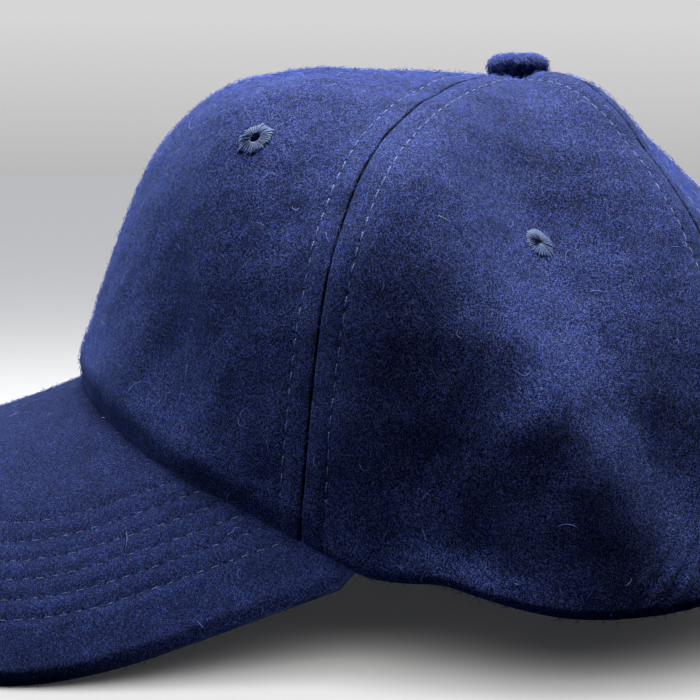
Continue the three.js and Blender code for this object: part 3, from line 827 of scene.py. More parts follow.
def crown_panel(name, start, end, foot, eyelet_turn, eyelet_along, seed):
    """Middle surface between two seams, half the cloth either side, thicker towards the hem."""
    turn, along = panel_grid(start, end, foot)
    face = crown_point(turn, along)
    normal = crown_normal(turn, along)
    form = crown_form(turn, along)
    radius = np.hypot(form[..., 0], form[..., 1])
    down = walked(face)
    up = down[-1] - down
    left = np.radians(np.abs(turn - start)) * radius
    right = np.radians(np.abs(end - turn)) * radius
    to_seam = np.minimum(left, right)
    hem = 1 - smooth(up, 2, HEM)
    thick = (CLOTH / 2 + HEM_EXTRA * hem) * roll_off(left, 0.6) * roll_off(right, 0.6)
    thick = thick * roll_off(up, 2.2) * roll_off(down, 1.2)
    middle = face - normal * CLOTH / 2
    far, missing, pull = eyelet_hole(middle, eyelet_turn, eyelet_along)
    upper = middle + normal * thick[..., None] + pull
    lower = middle - normal * thick[..., None] + pull
    faces, inside = pillow_faces(*far.shape, missing)
    cloth_map = np.stack([np.radians(turn - (start + end) / 2) * radius, down], -1)
    rows = [np.interp(along, *seam_length(seam)) / STITCH for seam in (start, end)]
    sewing = np.stack([to_seam - STITCH_OFF, np.where(left < right, *rows)], -1)
    points = both(upper, inside, lower)
    # Painted shade from the slope of the relief: one number for each point, paler facing up, darker
    # facing down.
    raised = swell(turn, along) + 0.5 * relief(turn, along)
    slope = np.gradient(raised, axis=0) / np.maximum(np.gradient(down, axis=0), 0.2)
    slope_shade = np.clip(SLOPE_SHADE_GAIN * slope, -0.45, 0.35)[..., None]
    points, faces, extras = used_only(points, faces, [
        both(cloth_map, inside), both(sewing, inside), both(slope_shade, inside)])
    # Painted shade: the faces nearest the seam take the wool without sheen.
    seam_shade_mask = (cell_mean(to_seam) < CREASE)[~missing]
    seam_shade_mask = np.concatenate([seam_shade_mask, seam_shade_mask, *[np.zeros(len(block), bool) for block in faces[2:]]])
    piece = build("cloth_" + name, points, faces, WOOL, maps={"cloth": extras[0], "sewing": extras[1]},
                  values={"slope_shade": extras[2]}, second=(WOOL_SHADED_CREASE, seam_shade_mask))
    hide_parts(name)
    to_stitch = cell_mean(sewing[..., 0])
    keep = np.where(missing | (cell_mean(far) < 2.9), 0, 1) * np.where(np.abs(to_stitch) < 0.6, 0.35, 1)
    keep = keep * np.where(to_stitch < CREASE + 0.3 - STITCH_OFF, 0.1, 1)
    strand = nap("nap_" + name, upper, HEAD_MIDDLE, PANEL_STRANDS, seed, keep)
    HAIR_GROUNDS.append((upper, HEAD_MIDDLE, PANEL_HAIRS, keep))


for number, (part, foot) in enumerate(zip(EYELETS, (straight_foot, straight_foot, arched_foot))):
    eyelet_turn, eyelet_along = EYELETS[part]
    start, end = SEAMS[number:number + 2]
    for sign, hand in ((1, "left"), (-1, "right")):
        crown_panel(f"panel_{part}_{hand}", sign * start, sign * end, foot, sign * eyelet_turn,
                    eyelet_along, 10 + number * 2 + sign)
print("panels:", {k: v for k, v in PIECES.items() if k.startswith("cloth")})

# %% [markdown]
# ## The peak
# The peak is a flat pattern bent round a cylinder whose axis slopes down to the front. Its outline
# is a superellipse with straight cheeks. Six rows of stitching follow the outline, so the distance
# from it gives both the grooves and the place of every stitch. Its wool is pressed, so it is
# flatter and less hairy than the crown's.

# %% Peak
HALF_WIDTH, LENGTH, CHEEK, CORNER, SQUARENESS = 95.2, 62.0, -18.0, -46.0, 2.75
TOP_CLOTH, UNDER_CLOTH, SPLIT = 2.2, 1.8, 2.5
MEETING = SPLIT + 0.9  # the depth at which both cloths meet along the outline
PEAK_ROLL = 2.6
PEAK_ROWS = [12.4, 16.8, 21.3, 25.7, 30.3, 35.1]
PEAK_STITCH = 3.1


def peak_point(across, ahead, depth):
    """The flat pattern bent round the cylinder, depth millimetres under its top."""
    bent, radius = across / BEND, BEND - depth
    lift = radius * np.cos(bent) - BEND
    height = RIDGE_HEIGHT - ahead * np.sin(SLOPE) + lift * np.cos(SLOPE)
    return np.stack([radius * np.sin(bent), RIDGE_Y - ahead * np.cos(SLOPE) - lift * np.sin(SLOPE),
                     np.maximum(0, height)], -1)


def evenly(path, fractions):
    """A path's points at fractions of its length."""
    gone = walked(path)
    return np.stack([np.interp(fractions * gone[-1], gone, path[:, k]) for k in range(2)], -1)


def peak_outline():
    """|across / half width|^n + |ahead / length|^n = 1, with straight cheeks behind it."""
    angle = np.radians(np.linspace(-90, 90, 361))
    across = np.sign(angle) * HALF_WIDTH * np.abs(np.sin(angle)) ** (2 / SQUARENESS)
    ahead = CHEEK + (LENGTH - CHEEK) * np.abs(np.cos(angle)) ** (2 / SQUARENESS)
    ends = np.array([[-HALF_WIDTH, CORNER], [HALF_WIDTH, CORNER]])
    return np.concatenate([ends[:1], np.stack([across, ahead], -1), ends[1:]])


def peak_inner():
    """The crown's footprint, drawn in by a little and laid out in the flat pattern."""
    turn = np.arange(-TEMPLE - 6, TEMPLE + 7.0)
    reach = ring("reach", turn) - 1.2 - undercut(turn)
    x, y = reach * np.sin(np.radians(turn)), -reach * np.cos(np.radians(turn))
    fits = np.abs(x) < BEND * math.sin(HALF_WIDTH / BEND) - 1
    bent = np.arcsin(np.clip(x / BEND, -1, 1))
    lift = BEND * (np.cos(bent) - 1)
    return np.stack([BEND * bent, (RIDGE_Y - y - lift * np.sin(SLOPE)) / np.cos(SLOPE)], -1)[fits]


OUTLINE = evenly(peak_outline(), np.linspace(0, 1, 700))


def peak_lumps(flat):
    """The same uneven cloth as on the crown, about half as high."""
    return lumps(peak_point(flat[..., 0], flat[..., 1], 0), seed=9) * 0.55


def edge_distance(flat):
    """Distance from the outline and how far round it the nearest point is, both in millimetres."""
    far = np.linalg.norm(flat.reshape(-1, 1, 2) - OUTLINE, axis=-1)
    gone = walked(OUTLINE)[far.argmin(1)]
    return far.min(1).reshape(flat.shape[:-1]), gone.reshape(flat.shape[:-1])


def peak_layer(name, top, bottom, columns, rows, facing, seed, strand_count, hair_count):
    """One cloth of the peak: rolled off towards the other at the outline, grooved by the rows."""
    s = np.linspace(0, 1, columns)
    v = np.concatenate([[0], np.arange(1, rows) / rows * 0.972, [0.982, 0.99, 0.9955, 1]])
    inner, outer = evenly(peak_inner(), s), evenly(peak_outline(), s)
    flat = inner + (outer - inner) * v[:, None, None]
    far, gone = edge_distance(flat)
    far = np.where(v[:, None] == 1, 0, far)
    row = np.argmin(np.abs(far[..., None] - PEAK_ROWS), -1)
    beside = far - np.array(PEAK_ROWS)[row]
    groove = 0.3 * np.exp(-(beside / 0.7) ** 2)
    puff = 0.1 * np.cos(np.clip(beside, -2.2, 2.2) / 2.2 * np.pi) * (far > 10) * (far < 38)
    half = (bottom - top) / 2
    corner = roll_off(np.minimum(s, 1 - s) * 330, 2.0)
    tucked = roll_off(v[:, None] * 40, 1.0)
    border = roll_off(far, PEAK_ROLL)
    thick = border * corner * tucked
    rolled = 1 - border
    centre = (top + bottom) / 2 * (1 - rolled) + MEETING * rolled
    up = centre - half * thick
    down = centre + half * thick
    uneven = peak_lumps(flat) * smooth(far, 0, 8)
    if facing > 0:
        up = up + (groove + puff * 0.5 - 0.15 - uneven) * thick
    else:
        down = down - (groove + puff * 0.5 - 0.15) * thick
    upper, lower = (peak_point(flat[..., 0], flat[..., 1], depth) for depth in (up, down))
    faces, inside = pillow_faces(*far.shape)
    sewing = np.stack([np.clip(beside, -3, 3), gone / PEAK_STITCH], -1)
    piece = build("cloth_" + name, both(upper, inside, lower), faces, PEAK_WOOL,
                  maps={"cloth": both(flat, inside), "sewing": both(sewing, inside)})
    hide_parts(name)
    shown = upper if facing > 0 else lower
    away = np.array([0, -110, -2000.0 * facing])
    keep = np.where(np.abs(cell_mean(beside)) < 0.55, 0.2, 1)
    strand = nap("nap_" + name, shown, away, strand_count, seed, keep, 0.75, PRESSED_STRANDS)
    HAIR_GROUNDS.append((shown, away, hair_count, keep))


peak_layer("peak_top", 0.0, TOP_CLOTH, 170, 84, 1, 31, 11000, 34)
peak_layer("peak_under", SPLIT, SPLIT + UNDER_CLOTH, 130, 56, -1, 32, 7000, 16)
print("peak:", {k: v for k, v in PIECES.items() if "peak" in k})

# %% [markdown]
# ## Thread
# A stitch is a short piece of thread that comes up through one needle hole and goes down through
# the next. Its middle stands just proud of the cloth and its ends dive into it. Each one is a tube
# of six sides whose rings shrink to a point at both ends, so it is closed. Rows are paths with a
# normal at every place, and the stitches are cut out of them at equal lengths.

# %% Stitches
RING_AT = np.array([-0.5, -0.47, -0.36, -0.15, 0.15, 0.36, 0.47, 0.5])
GIRTH = np.array([0.05, 0.8, 1.0, 1.0, 1.0, 1.0, 0.8, 0.05])
DIVE = np.array([-0.55, -0.4, -0.05, 1.0, 1.0, -0.05, -0.4, -0.55])
TUBE_SIDES = 6


def stitch_row(path, normal, pitch, first=0.0, fill=0.72, width=0.15, proud=0.1, seed=0):
    """Tubes between the needle holes of one row, each a little deeper or more askew than the next."""
    rng = np.random.default_rng(seed)
    gone = walked(path)
    count = int((gone[-1] - first) / pitch)
    middle = first + (np.arange(count) + 0.5) * pitch
    where = middle[:, None] + RING_AT * fill * pitch
    at = np.stack([np.interp(where, gone, path[:, k]) for k in range(3)], -1)
    out = unit(np.stack([np.interp(where, gone, normal[:, k]) for k in range(3)], -1))
    sunk = rng.uniform(-0.12, 0.03, (count, 1, 1))
    at = at + out * (np.where(DIVE > 0, proud, DIVE)[None, :, None] + sunk)
    level = unit(np.cross(out, np.gradient(at, axis=1)))
    shift, askew = rng.normal(0, 0.05, (count, 1, 1)), rng.normal(0, 0.07, (count, 1, 1))
    at = at + level * (shift + askew * RING_AT[:, None])
    forward = unit(np.gradient(at, axis=1))
    side = unit(np.cross(forward, out))
    over = unit(np.cross(side, forward))
    angle = np.arange(TUBE_SIDES) * np.pi / 3
    around = side[:, :, None] * np.cos(angle)[:, None] + over[:, :, None] * np.sin(angle)[:, None]
    points = at[:, :, None] + around * (width * GIRTH)[None, :, None, None]
    index = np.arange(points.size // 3).reshape(points.shape[:3])
    caps = np.concatenate([index[:, 0, ::-1], index[:, -1]])
    own = np.stack(np.broadcast_arrays(angle / (2 * np.pi), (where - middle[:, None])[..., None]), -1)
    return points.reshape(-1, 3), [ring_quads(index[:, :-1], index[:, 1:]), caps], own.reshape(-1, 2)


def sew(name, rows, material, slot, **kind):
    """Joins the stitches of several rows into one piece."""
    points, quads, caps, maps, total = [], [], [], [], 0
    for number, (path, normal, first) in enumerate(rows):
        made, (four, six), own = stitch_row(path, normal, first=first, seed=number, **kind)
        points.append(made)
        quads.append(four + total)
        caps.append(six + total)
        maps.append(own)
        total += len(made)
    piece = build(name, np.concatenate(points), [np.concatenate(quads), np.concatenate(caps)], material,
                  maps={"cloth": np.concatenate(maps)})
    return piece


def crown_row(seam, side):
    """A row beside a seam: its turn is the seam's plus an angle that keeps it 4.8 mm away."""
    last = 1.0
    if abs(seam) == 180:
        last = float(along_where(np.array([180.0]), lambda form: form[..., 2] > ARCH["height"])[0])
    along = np.linspace(0, last, 500)
    radius = np.hypot(*np.moveaxis(crown_form(np.full(500, float(seam)), along)[..., :2], -1, 0))
    fits = (radius > 8.6) & (along < last - 0.012)
    along, radius = along[fits], radius[fits]
    turn = seam + side * np.degrees(STITCH_OFF / radius)
    begin = np.interp(along[0], *seam_length(seam))
    first = np.ceil(begin / STITCH) * STITCH - begin
    return crown_point(turn, along), crown_normal(turn, along), first


front, left, back_left, back = SEAMS
seam_rows = [crown_row(seam, side) for seam in (front, left, -left, back_left, -back_left, back)
             for side in (-1, 1)]
sew("seam_stitches", seam_rows, SEAM_THREAD, "wool", pitch=STITCH, fill=0.84, width=0.12, proud=0.12)
print("seam stitches:", PIECES["seam_stitches"], "triangles")

# %% [markdown]
# The peak's rows are the outline moved inwards along its own normal. A row ends where it runs in
# under the crown's edge. Its thread is darker than the crown's and lies in the grooves.

# %% Peak stitches
def peak_row(inset):
    """The outline moved inwards by inset, kept where it lies ahead of the crown's edge."""
    along = unit(np.gradient(OUTLINE, axis=0))
    inwards = np.stack([along[:, 1], -along[:, 0]], -1)
    inwards *= np.sign((inwards * (np.array([0, -20]) - OUTLINE)).sum(-1, keepdims=True))
    flat = OUTLINE + inwards * inset
    true = edge_distance(flat)[0] > inset - 0.35
    inner = peak_inner()
    ahead = flat[:, 1] > np.interp(flat[:, 0], inner[:, 0], inner[:, 1]) - 0.5
    flat = flat[true & ahead & (np.abs(flat[:, 0]) < inner[:, 0].max())]
    fine = evenly(flat, np.linspace(0, 1, 600))
    path = peak_point(fine[:, 0], fine[:, 1], 0.36 - peak_lumps(fine))
    normal = unit(peak_point(fine[:, 0], fine[:, 1], -1.0) - peak_point(fine[:, 0], fine[:, 1], 0.0))
    return path, normal, 0.3


sew("peak_stitches", [peak_row(inset) for inset in PEAK_ROWS], PEAK_THREAD, "wool", pitch=PEAK_STITCH,
    fill=0.94, proud=0.24, width=0.1)
print("peak stitches:", PIECES["peak_stitches"], "triangles")

# %% [markdown]
# ## Loose hairs
# Felted wool always lets a few coarse pale hairs go. They lie on the surface in small arcs, a few
# millimetres long, and catch the light. Each is a thin tube of three sides carried along an arc that
# bends at a steady rate, closed by a point at each end.

# %% Loose hairs
HAIR_RINGS = 8


def loose_hairs(seed):
    """Root + the sum of steps whose heading turns evenly, lifted a little in the middle."""
    rng = np.random.default_rng(seed)
    found = [scatter(grid, inside, count, rng, keep) for grid, inside, count, keep in HAIR_GROUNDS]
    root, normal = (np.concatenate(v) for v in zip(*found))
    count = len(root)
    ahead = unit(np.cross(normal, rng.normal(size=(count, 3))))
    across = np.cross(normal, ahead)
    share = np.linspace(0, 1, HAIR_RINGS)
    arc, sway = rng.normal(0, 1.5, (count, 1)), rng.normal(0, 0.5, (count, 1))
    heading = arc * share + sway * np.sin(share * 6)
    step = rng.uniform(1.6, 4.6, (count, 1)) / (HAIR_RINGS - 1)
    forward, sideways = (np.cumsum(f(heading) * step, axis=1)[..., None] for f in (np.cos, np.sin))
    lift = (0.12 + rng.uniform(0.05, 0.4, (count, 1)) * np.sin(share * np.pi))[..., None]
    path = root[:, None] + forward * ahead[:, None] + sideways * across[:, None] + lift * normal[:, None]
    way = unit(np.gradient(path, axis=1))
    first = unit(np.cross(way, normal[:, None]))
    second = np.cross(way, first)
    girth = 0.04 * np.array([0.4, 0.9, 1, 1, 1, 1, 0.9, 0.4])[None, :, None]
    rings = np.stack([path + girth * (first * math.cos(k) + second * math.sin(k)) for k in THIRDS], 2)
    ends = np.stack([path[:, 0] - way[:, 0] * 0.15, path[:, -1] + way[:, -1] * 0.15], 1)
    index = np.arange(HAIR_RINGS * 3).reshape(HAIR_RINGS, 3)
    points = np.concatenate([rings.reshape(count, index.size, 3), ends], 1)
    quads = ring_quads(index[:-1], index[1:])
    (a, b, c), near, far = index[-1], index.size, index.size + 1
    tips = np.array([[near, 1, 0], [near, 2, 1], [near, 0, 2], [far, a, b], [far, b, c], [far, c, a]])
    start = np.arange(count)[:, None, None] * (far + 1)
    faces = [(start + quads).reshape(-1, 4), (start + tips).reshape(-1, 3)]
    tone = np.repeat(rng.random((count, 1)), far + 1, axis=1)
    piece = build("loose_hairs", points, faces, HAIR, values={"tone": tone})


loose_hairs(77)
print("loose hairs:", PIECES["loose_hairs"], "triangles")

# %% [markdown]
# ## Eyelets
# An embroidered eyelet is thread wound over the edge of a hole, stitch beside stitch, so it looks
# like a small wheel with fine spokes. It is a closed ring turned about the panel's normal: the
# section goes over the outer face, down the hole and back under the cloth. The spokes are ridges
# in its height, and each thread ends a little nearer or further out than the next. No two eyelets
# come out alike: each is slightly oval and leans its own way, with a hole of its own size.

# %% Eyelets
SPOKES = 34
RIM_RADIUS, BACK_RADIUS = 3.75, 3.2
LEAN = {"front": 58, "side": 125, "back": 90}
EYELET_HOLES = {"front": 1.05, "side": 0.3, "back": 0.7}


def eyelet(name, turn, along, hole, lean, seed):
    """Section (radius, height) carried round the normal, with a ridge for each thread."""
    rng = np.random.default_rng(seed)
    around = circle(SPOKES * 6)
    share = np.array([0, 0.06, 0.2, 0.42, 0.66, 0.86, 1.0])
    top = 0.08 + 0.5 * np.sqrt(1 - (share * 2 - 1.0) ** 2 * np.where(share > 0.5, 0.55, 1.0))
    radius = np.concatenate([RIM_RADIUS + (hole - RIM_RADIUS) * share, [hole, hole],
                             hole + (BACK_RADIUS - hole) * share])
    height = np.concatenate([top, [-0.6, -1.7], -CLOTH - top])
    height[0], height[-1] = -0.5, -CLOTH + 0.4
    thread_number = np.floor(around / (2 * np.pi) * SPOKES).astype(int)
    ridge = np.abs(np.sin(around * SPOKES / 2)) ** 0.7 - 0.6
    uneven = rng.normal(0, 0.2, SPOKES)[thread_number]
    lifted = rng.normal(0, 0.07, SPOKES)[thread_number]
    outer = smooth(radius, hole + 0.5, BACK_RADIUS)
    r = radius[None] + uneven[:, None] * outer[None]
    r = r * (1 + 0.15 * np.cos(2 * (around - math.radians(lean))))[:, None]
    swing = np.sign(height + CLOTH / 2)[None]
    middle = 1 - np.abs(2 * np.clip((radius - hole) / 2.2, 0, 1) - 1) ** 4
    h = height[None] + swing * (0.22 * ridge + lifted)[:, None] * middle[None]
    centre, out = crown_point(turn, along), cloth_normal(turn, along)
    level = unit(np.cross([0, 0, 1.0], out))
    steep = np.cross(out, level)
    spot = r[..., None] * (np.cos(around)[:, None, None] * level + np.sin(around)[:, None, None] * steep)
    points = centre + spot + h[..., None] * out
    points = points - (r**2 / 60)[..., None] * out  # bent with the crown
    index = np.arange(r.size).reshape(r.shape)
    faces = ring_quads(index, np.roll(index, -1, 0), turned=True)
    maps = np.stack(np.broadcast_arrays((around / (2 * np.pi) * SPOKES)[:, None], radius[None]), -1)
    piece = build("thread_" + name, points, [faces], EYELET_THREAD, maps={"cloth": maps.reshape(-1, 2)})
    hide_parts(name)


for number, (part, (turn, along)) in enumerate(EYELETS.items()):
    for sign, hand in ((1, "left"), (-1, "right")):
        eyelet(f"eyelet_{part}_{hand}", float(sign * turn), along, EYELET_HOLES[part],
               LEAN[part] if sign > 0 else 180 - LEAN[part], 50 + number * 2 + sign)
print("eyelet:", PIECES["thread_eyelet_front_left"], "triangles")

# %% [markdown]
# ## The button
# The button is a metal cap pressed into a round of the same wool, so it is a low dome with a full
# rolled edge that tucks in underneath. A profile turned about the axis gives it; the cloth's small
# pleats under the edge fade out towards the top.

# %% Button
BUTTON_RADIUS, BUTTON_HEIGHT = 7.0, 4.4
BUTTON_SIDES = 96


def button():
    """Profile (radius, height) turned about Z, closed by one point at each end."""
    slope = np.radians(np.linspace(0, 90, 18))[1:]
    side = np.linspace(0, 1, 7)[1:]
    radius = np.concatenate([5.0 * np.array([0.4, 0.8, 1.0]), 5.0 + 2.0 * np.sin(side * np.pi / 2),
                             BUTTON_RADIUS * np.cos(slope[:-1]) ** 0.62])
    height = np.concatenate([[-1.2, -1.2, -1.1], -1.1 + 2.8 * (1 - np.cos(side * np.pi / 2)),
                             1.7 + (BUTTON_HEIGHT - 1.7) * np.sin(slope[:-1])])
    around = circle(BUTTON_SIDES)
    pleat = 0.16 * np.sin(around * 14 + 0.8 * np.sin(around * 3))[:, None]
    pleat = pleat * (1 - smooth(height, 0.8, 2.4))[None]
    r = radius[None] * (1 + 0.012 * np.sin(2 * around + 1)[:, None]) + pleat * (radius > 3)[None]
    grid = np.stack([r * np.cos(around)[:, None], r * np.sin(around)[:, None],
                     np.broadcast_to(APEX + height, r.shape)], -1)
    ends = np.array([[0, 0, APEX + 0.1], [0, 0, APEX + BUTTON_HEIGHT]])
    count = len(radius)
    index = np.arange(BUTTON_SIDES * count).reshape(BUTTON_SIDES, count)
    following = np.roll(index, -1, 0)
    quads = np.stack([index[:, :-1], following[:, :-1], following[:, 1:], index[:, 1:]], -1)
    low, high = np.full((2, BUTTON_SIDES), index.size) + [[0], [1]]
    caps = np.concatenate([np.stack([low, following[:, 0], index[:, 0]], -1),
                           np.stack([high, index[:, -1], following[:, -1]], -1)])
    points = np.concatenate([grid.reshape(-1, 3), ends])
    sewing = np.full((len(points), 2), 9.0)
    piece = build("cloth_button", points, [quads.reshape(-1, 4), caps], WOOL,
                  maps={"cloth": points[:, :2] + points[:, 2:] * 0.8, "sewing": sewing})
    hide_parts("button")
    strand = nap("nap_button", grid[:, 3:], np.array([0, 0, APEX - 3]), 1500, 71, size=0.8)


button()
print("button:", PIECES["cloth_button"], "triangles")

# %% [markdown]
# ## Inside and behind
# The sweatband is a strip of cotton folded up inside the rim. The strap is a strip of the same
# wool that crosses the opening behind and weaves over the middle bar of a small metal slide. Both
# are pillows again, laid along the inside of the crown.

# %% Strips inside the crown
LINING_GAP = 0.9
STRIP_ROW = 2.6  # from a strip's edge to its row of stitches
HEAD_RADIUS = 88


def climb_to_along(turn, climb):
    """For each turn, where along its meridian the cloth has climbed that far from the rim."""
    along = np.linspace(1, 0.4, 240)
    path = crown_form(turn[:, None], along[None])
    return np.stack([np.interp(climb, row, along) for row in walked(path, 1)], -1)


def strip(name, start, end, low, high, thickness, columns, rows, material, shift=None):
    """A pillow along the inside of the crown between two turns and two climbs, sewn by its edges."""
    turn = np.linspace(start, end, columns)
    share = np.concatenate([[0, 0.006, 0.02], np.linspace(0.04, 0.96, rows), [0.98, 0.994, 1]])
    climb = high + (low - high) * share
    along = climb_to_along(turn, climb)
    turns = np.broadcast_to(turn, along.shape)
    moved = 0 if shift is None else shift(turns)
    normal = crown_normal(turns, along)
    depth = CLOTH + LINING_GAP + thickness / 2 - moved - swell(turns, along)
    middle = crown_form(turns, along) - normal * depth[..., None]
    edge = np.minimum(share, 1 - share)[:, None] * np.abs(high - low)
    ends = np.minimum(turns - start, end - turns) * 1.5
    half = thickness / 2 * roll_off(edge, 0.9) * roll_off(ends, 1.2)
    row = 0.2 * np.exp(-((edge - STRIP_ROW) / 0.6) ** 2)
    half = half - row * (half > 0.3)
    upper, lower = middle + normal * half[..., None], middle - normal * half[..., None]
    faces, inside = pillow_faces(*half.shape)
    own = np.stack(np.broadcast_arrays(np.radians(turns) * HEAD_RADIUS, climb[:, None]), -1)
    sewing = np.stack(np.broadcast_arrays(edge - STRIP_ROW, np.radians(turns) * HEAD_RADIUS / STITCH), -1)
    piece = build("cloth_" + name, both(upper, inside, lower), faces, material,
                  maps={"cloth": both(own, inside), "sewing": both(sewing, inside)})
    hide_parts(name)
    return upper, normal, share


BAND_HEIGHT, BAND_THICKNESS, BAND_END, BAND_LIFT = 32, 1.5, 138, 1.2
STRAP_HEIGHT, STRAP_THICKNESS, STRAP_END, STRAP_LIFT = 19, 1.5, 140, 3.2
SLIDE_TURN, SLIDE_WEAVE, SLIDE_SPAN = 192, 3.6, 3.2


def weave(turn):
    """The strap stands off by the weave where it crosses the slide's middle bar."""
    return SLIDE_WEAVE * np.exp(-(np.abs(turn - SLIDE_TURN) / SLIDE_SPAN) ** 4)


strip("sweatband", -BAND_END, BAND_END, BAND_LIFT, BAND_HEIGHT, BAND_THICKNESS, 240, 18,
      BAND_COTTON)
upper, out, share = strip("strap", STRAP_END, 360 - STRAP_END, STRAP_LIFT,
                          STRAP_LIFT + STRAP_HEIGHT, STRAP_THICKNESS, 150, 16, WOOL, weave)
nap("nap_strap", upper, np.array([0, 0, 20.0]), 2200, 81, size=0.8)
print("strips:", PIECES["cloth_sweatband"], PIECES["cloth_strap"], "triangles")

# %% [markdown]
# The strap's two rows of stitches lie near its edges. They follow rows of the strap's own grid, so
# they weave over the slide with it.

# %% Strap stitches
rows = []
for at in (STRIP_ROW / STRAP_HEIGHT, 1 - STRIP_ROW / STRAP_HEIGHT):
    j = int(np.argmin(np.abs(share - at)))
    rows.append((upper[j, 3:-3], out[j, 3:-3], 1.0))
sew("strap_stitches", rows, SEAM_THREAD, "wool", pitch=STITCH)
print("strap stitches:", PIECES["strap_stitches"], "triangles")

# %% [markdown]
# ## The slide
# The slide is a flat frame of plated wire with one bar across its middle. Each side is a rod with a
# rounded section; the outer frame is one closed loop, and the bar runs between its long sides.

# %% Slide
BAR, CLEAR, SLIDE_HALF, SLIDE_THICKNESS = 2.0, 0.6, 11.0, 1.6
LOOP_STEPS, SECTION_STEPS = 120, 16


def squared(wave, power):
    """A sine or cosine made squarer, with its sign kept."""
    return np.sign(wave) * np.abs(wave) ** power


def slide():
    """Rounded section carried round a rounded rectangle, and one closed rod for the bar."""
    height = np.array([STRAP_LIFT + STRAP_HEIGHT / 2])
    along = climb_to_along(np.array([float(SLIDE_TURN)]), height)[0, 0]
    out = crown_normal(float(SLIDE_TURN), along)
    level = unit(np.cross([0, 0, 1.0], out))
    upright = np.cross(level, out)
    depth = CLOTH + LINING_GAP + STRAP_THICKNESS - SLIDE_WEAVE + CLEAR + SLIDE_THICKNESS / 2
    bare = crown_form(float(SLIDE_TURN), along) + out * (swell(float(SLIDE_TURN), along) - depth)
    tall = STRAP_HEIGHT / 2 + CLEAR + BAR / 2
    wide = SLIDE_HALF - BAR / 2
    angle = circle(LOOP_STEPS)
    cx, cy = np.cos(angle), np.sin(angle)
    square = (np.abs(cx) ** 9 + np.abs(cy) ** 9) ** (-1 / 9)
    path = np.stack([cx * square * wide, cy * square * tall], -1)
    forward = unit(np.roll(path, -1, 0) - np.roll(path, 1, 0))
    side = np.stack([forward[:, 1], -forward[:, 0]], -1)
    section = circle(SECTION_STEPS)
    across = BAR / 2 * squared(np.cos(section), 0.55)
    lift = SLIDE_THICKNESS / 2 * squared(np.sin(section), 0.55)
    flat = path[:, None] + side[:, None] * across[None, :, None]
    raised = np.broadcast_to(lift[None, :, None], (LOOP_STEPS, SECTION_STEPS, 1))
    loop = np.concatenate([flat, raised], -1)
    index = np.arange(LOOP_STEPS * SECTION_STEPS).reshape(LOOP_STEPS, SECTION_STEPS)
    quads = ring_quads(index, np.roll(index, -1, 0), turned=True)
    steps = np.array([-1, -0.96, -0.5, 0, 0.5, 0.96, 1.0]) * tall
    small = np.array([0.1, 1, 1, 1, 1, 1, 0.1])
    rod = np.stack(np.broadcast_arrays(across[None] * small[:, None], steps[:, None],
                                       lift[None] * small[:, None]), -1)
    rows_at = index.size + np.arange(len(steps) * SECTION_STEPS).reshape(len(steps), SECTION_STEPS)
    bar = ring_quads(rows_at[:-1], rows_at[1:])
    if volume(rod.reshape(-1, 3), [bar - index.size]) * volume(loop.reshape(-1, 3), [quads]) < 0:
        bar = bar[:, ::-1]
    ends = np.stack([rows_at[0], rows_at[-1][::-1]])
    local = np.concatenate([loop.reshape(-1, 3), rod.reshape(-1, 3)])
    points = bare + local @ np.stack([level, upright, out])
    piece = build("metal_buckle", points, [quads, bar, ends], SLIDE_METAL)
    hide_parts("buckle")


slide()
print("slide:", PIECES["metal_buckle"], "triangles")

# %% [markdown]
# ## The table
# The cap lies on a white table. A bent sheet of paper behind it would hide the cap from that side,
# so the table is one wide disc, matt, with the faintest grain. Rays that leave the cloth don't see
# it: it would throw far more light up at the cap than the real table does.

# %% Table
TABLE_SIDES, TABLE_RINGS = 96, 40


def floor_material():
    """Matt white paint with the faintest grain."""
    material, tree, shader = new_material("table_white")
    white = blend(tree, noise(tree, 60), (0.76, 0.76, 0.755, 1), (0.8, 0.8, 0.795, 1))
    surface(tree, shader, white, Roughness=0.7, Specular_IOR_Level=0.2)
    return material


def floor():
    """A flat disc, one ring of points round its centre for each radius, a hair under the cap."""
    around = circle(TABLE_SIDES)
    radius = np.linspace(0.05, 2.6, TABLE_RINGS)[:, None] * 1000
    index = np.arange(TABLE_RINGS * TABLE_SIDES).reshape(TABLE_RINGS, TABLE_SIDES)
    grid = np.stack([radius * np.cos(around), radius * np.sin(around), np.zeros(index.shape)], -1)
    quads = ring_quads(index[:-1], index[1:], turned=True)
    middle = np.stack([np.roll(index[0], -1), np.full(TABLE_SIDES, index.size), index[0]], -1)
    mesh = bpy.data.meshes.new("table")
    points = np.concatenate([grid.reshape(-1, 3), [[0, 0, 0]]]) / 1000 - [0, 0, 0.00005]
    mesh.from_pydata(points.tolist(), [], quads.tolist() + middle[:, ::-1].tolist())
    mesh.materials.append(floor_material())
    table = bpy.data.objects.new("table", mesh)
    bpy.context.scene.collection.objects.link(table)
    table.visible_diffuse = table.visible_glossy = False
    return table


table = floor()
print("table:", len(table.data.polygons), "faces")

# %% [markdown]
# ## Light
# The light is soft and comes from above and behind, which makes the top of the wool glow and leaves
# the near side deep navy. One set of lamps could light everything, but dark wool and a white table
# need very different amounts, so light linking gives each its own: big lamps above and a bluish one
# in front for the cap; a wide sun, a very low one and two small lamps for the table, which draw
# its shadow; and three faint lamps under the peak, in place of the light that the table throws up.

# %% Light helpers
def new_light(name, kind, power):
    """A light in the scene, at the origin for now."""
    light = bpy.data.objects.new(name, bpy.data.lights.new(name, kind))
    bpy.context.scene.collection.objects.link(light)
    light.data.energy = power
    return light


def sun(name, power, wide, tilt):
    """Parallel light, wide degrees across, from overhead at 0 and from the camera's side at 90."""
    light = new_light(name, "SUN", power)
    light.data.angle = math.radians(wide)
    light.matrix_world = Matrix.Rotation(math.radians(tilt), 4, "Y")
    return light


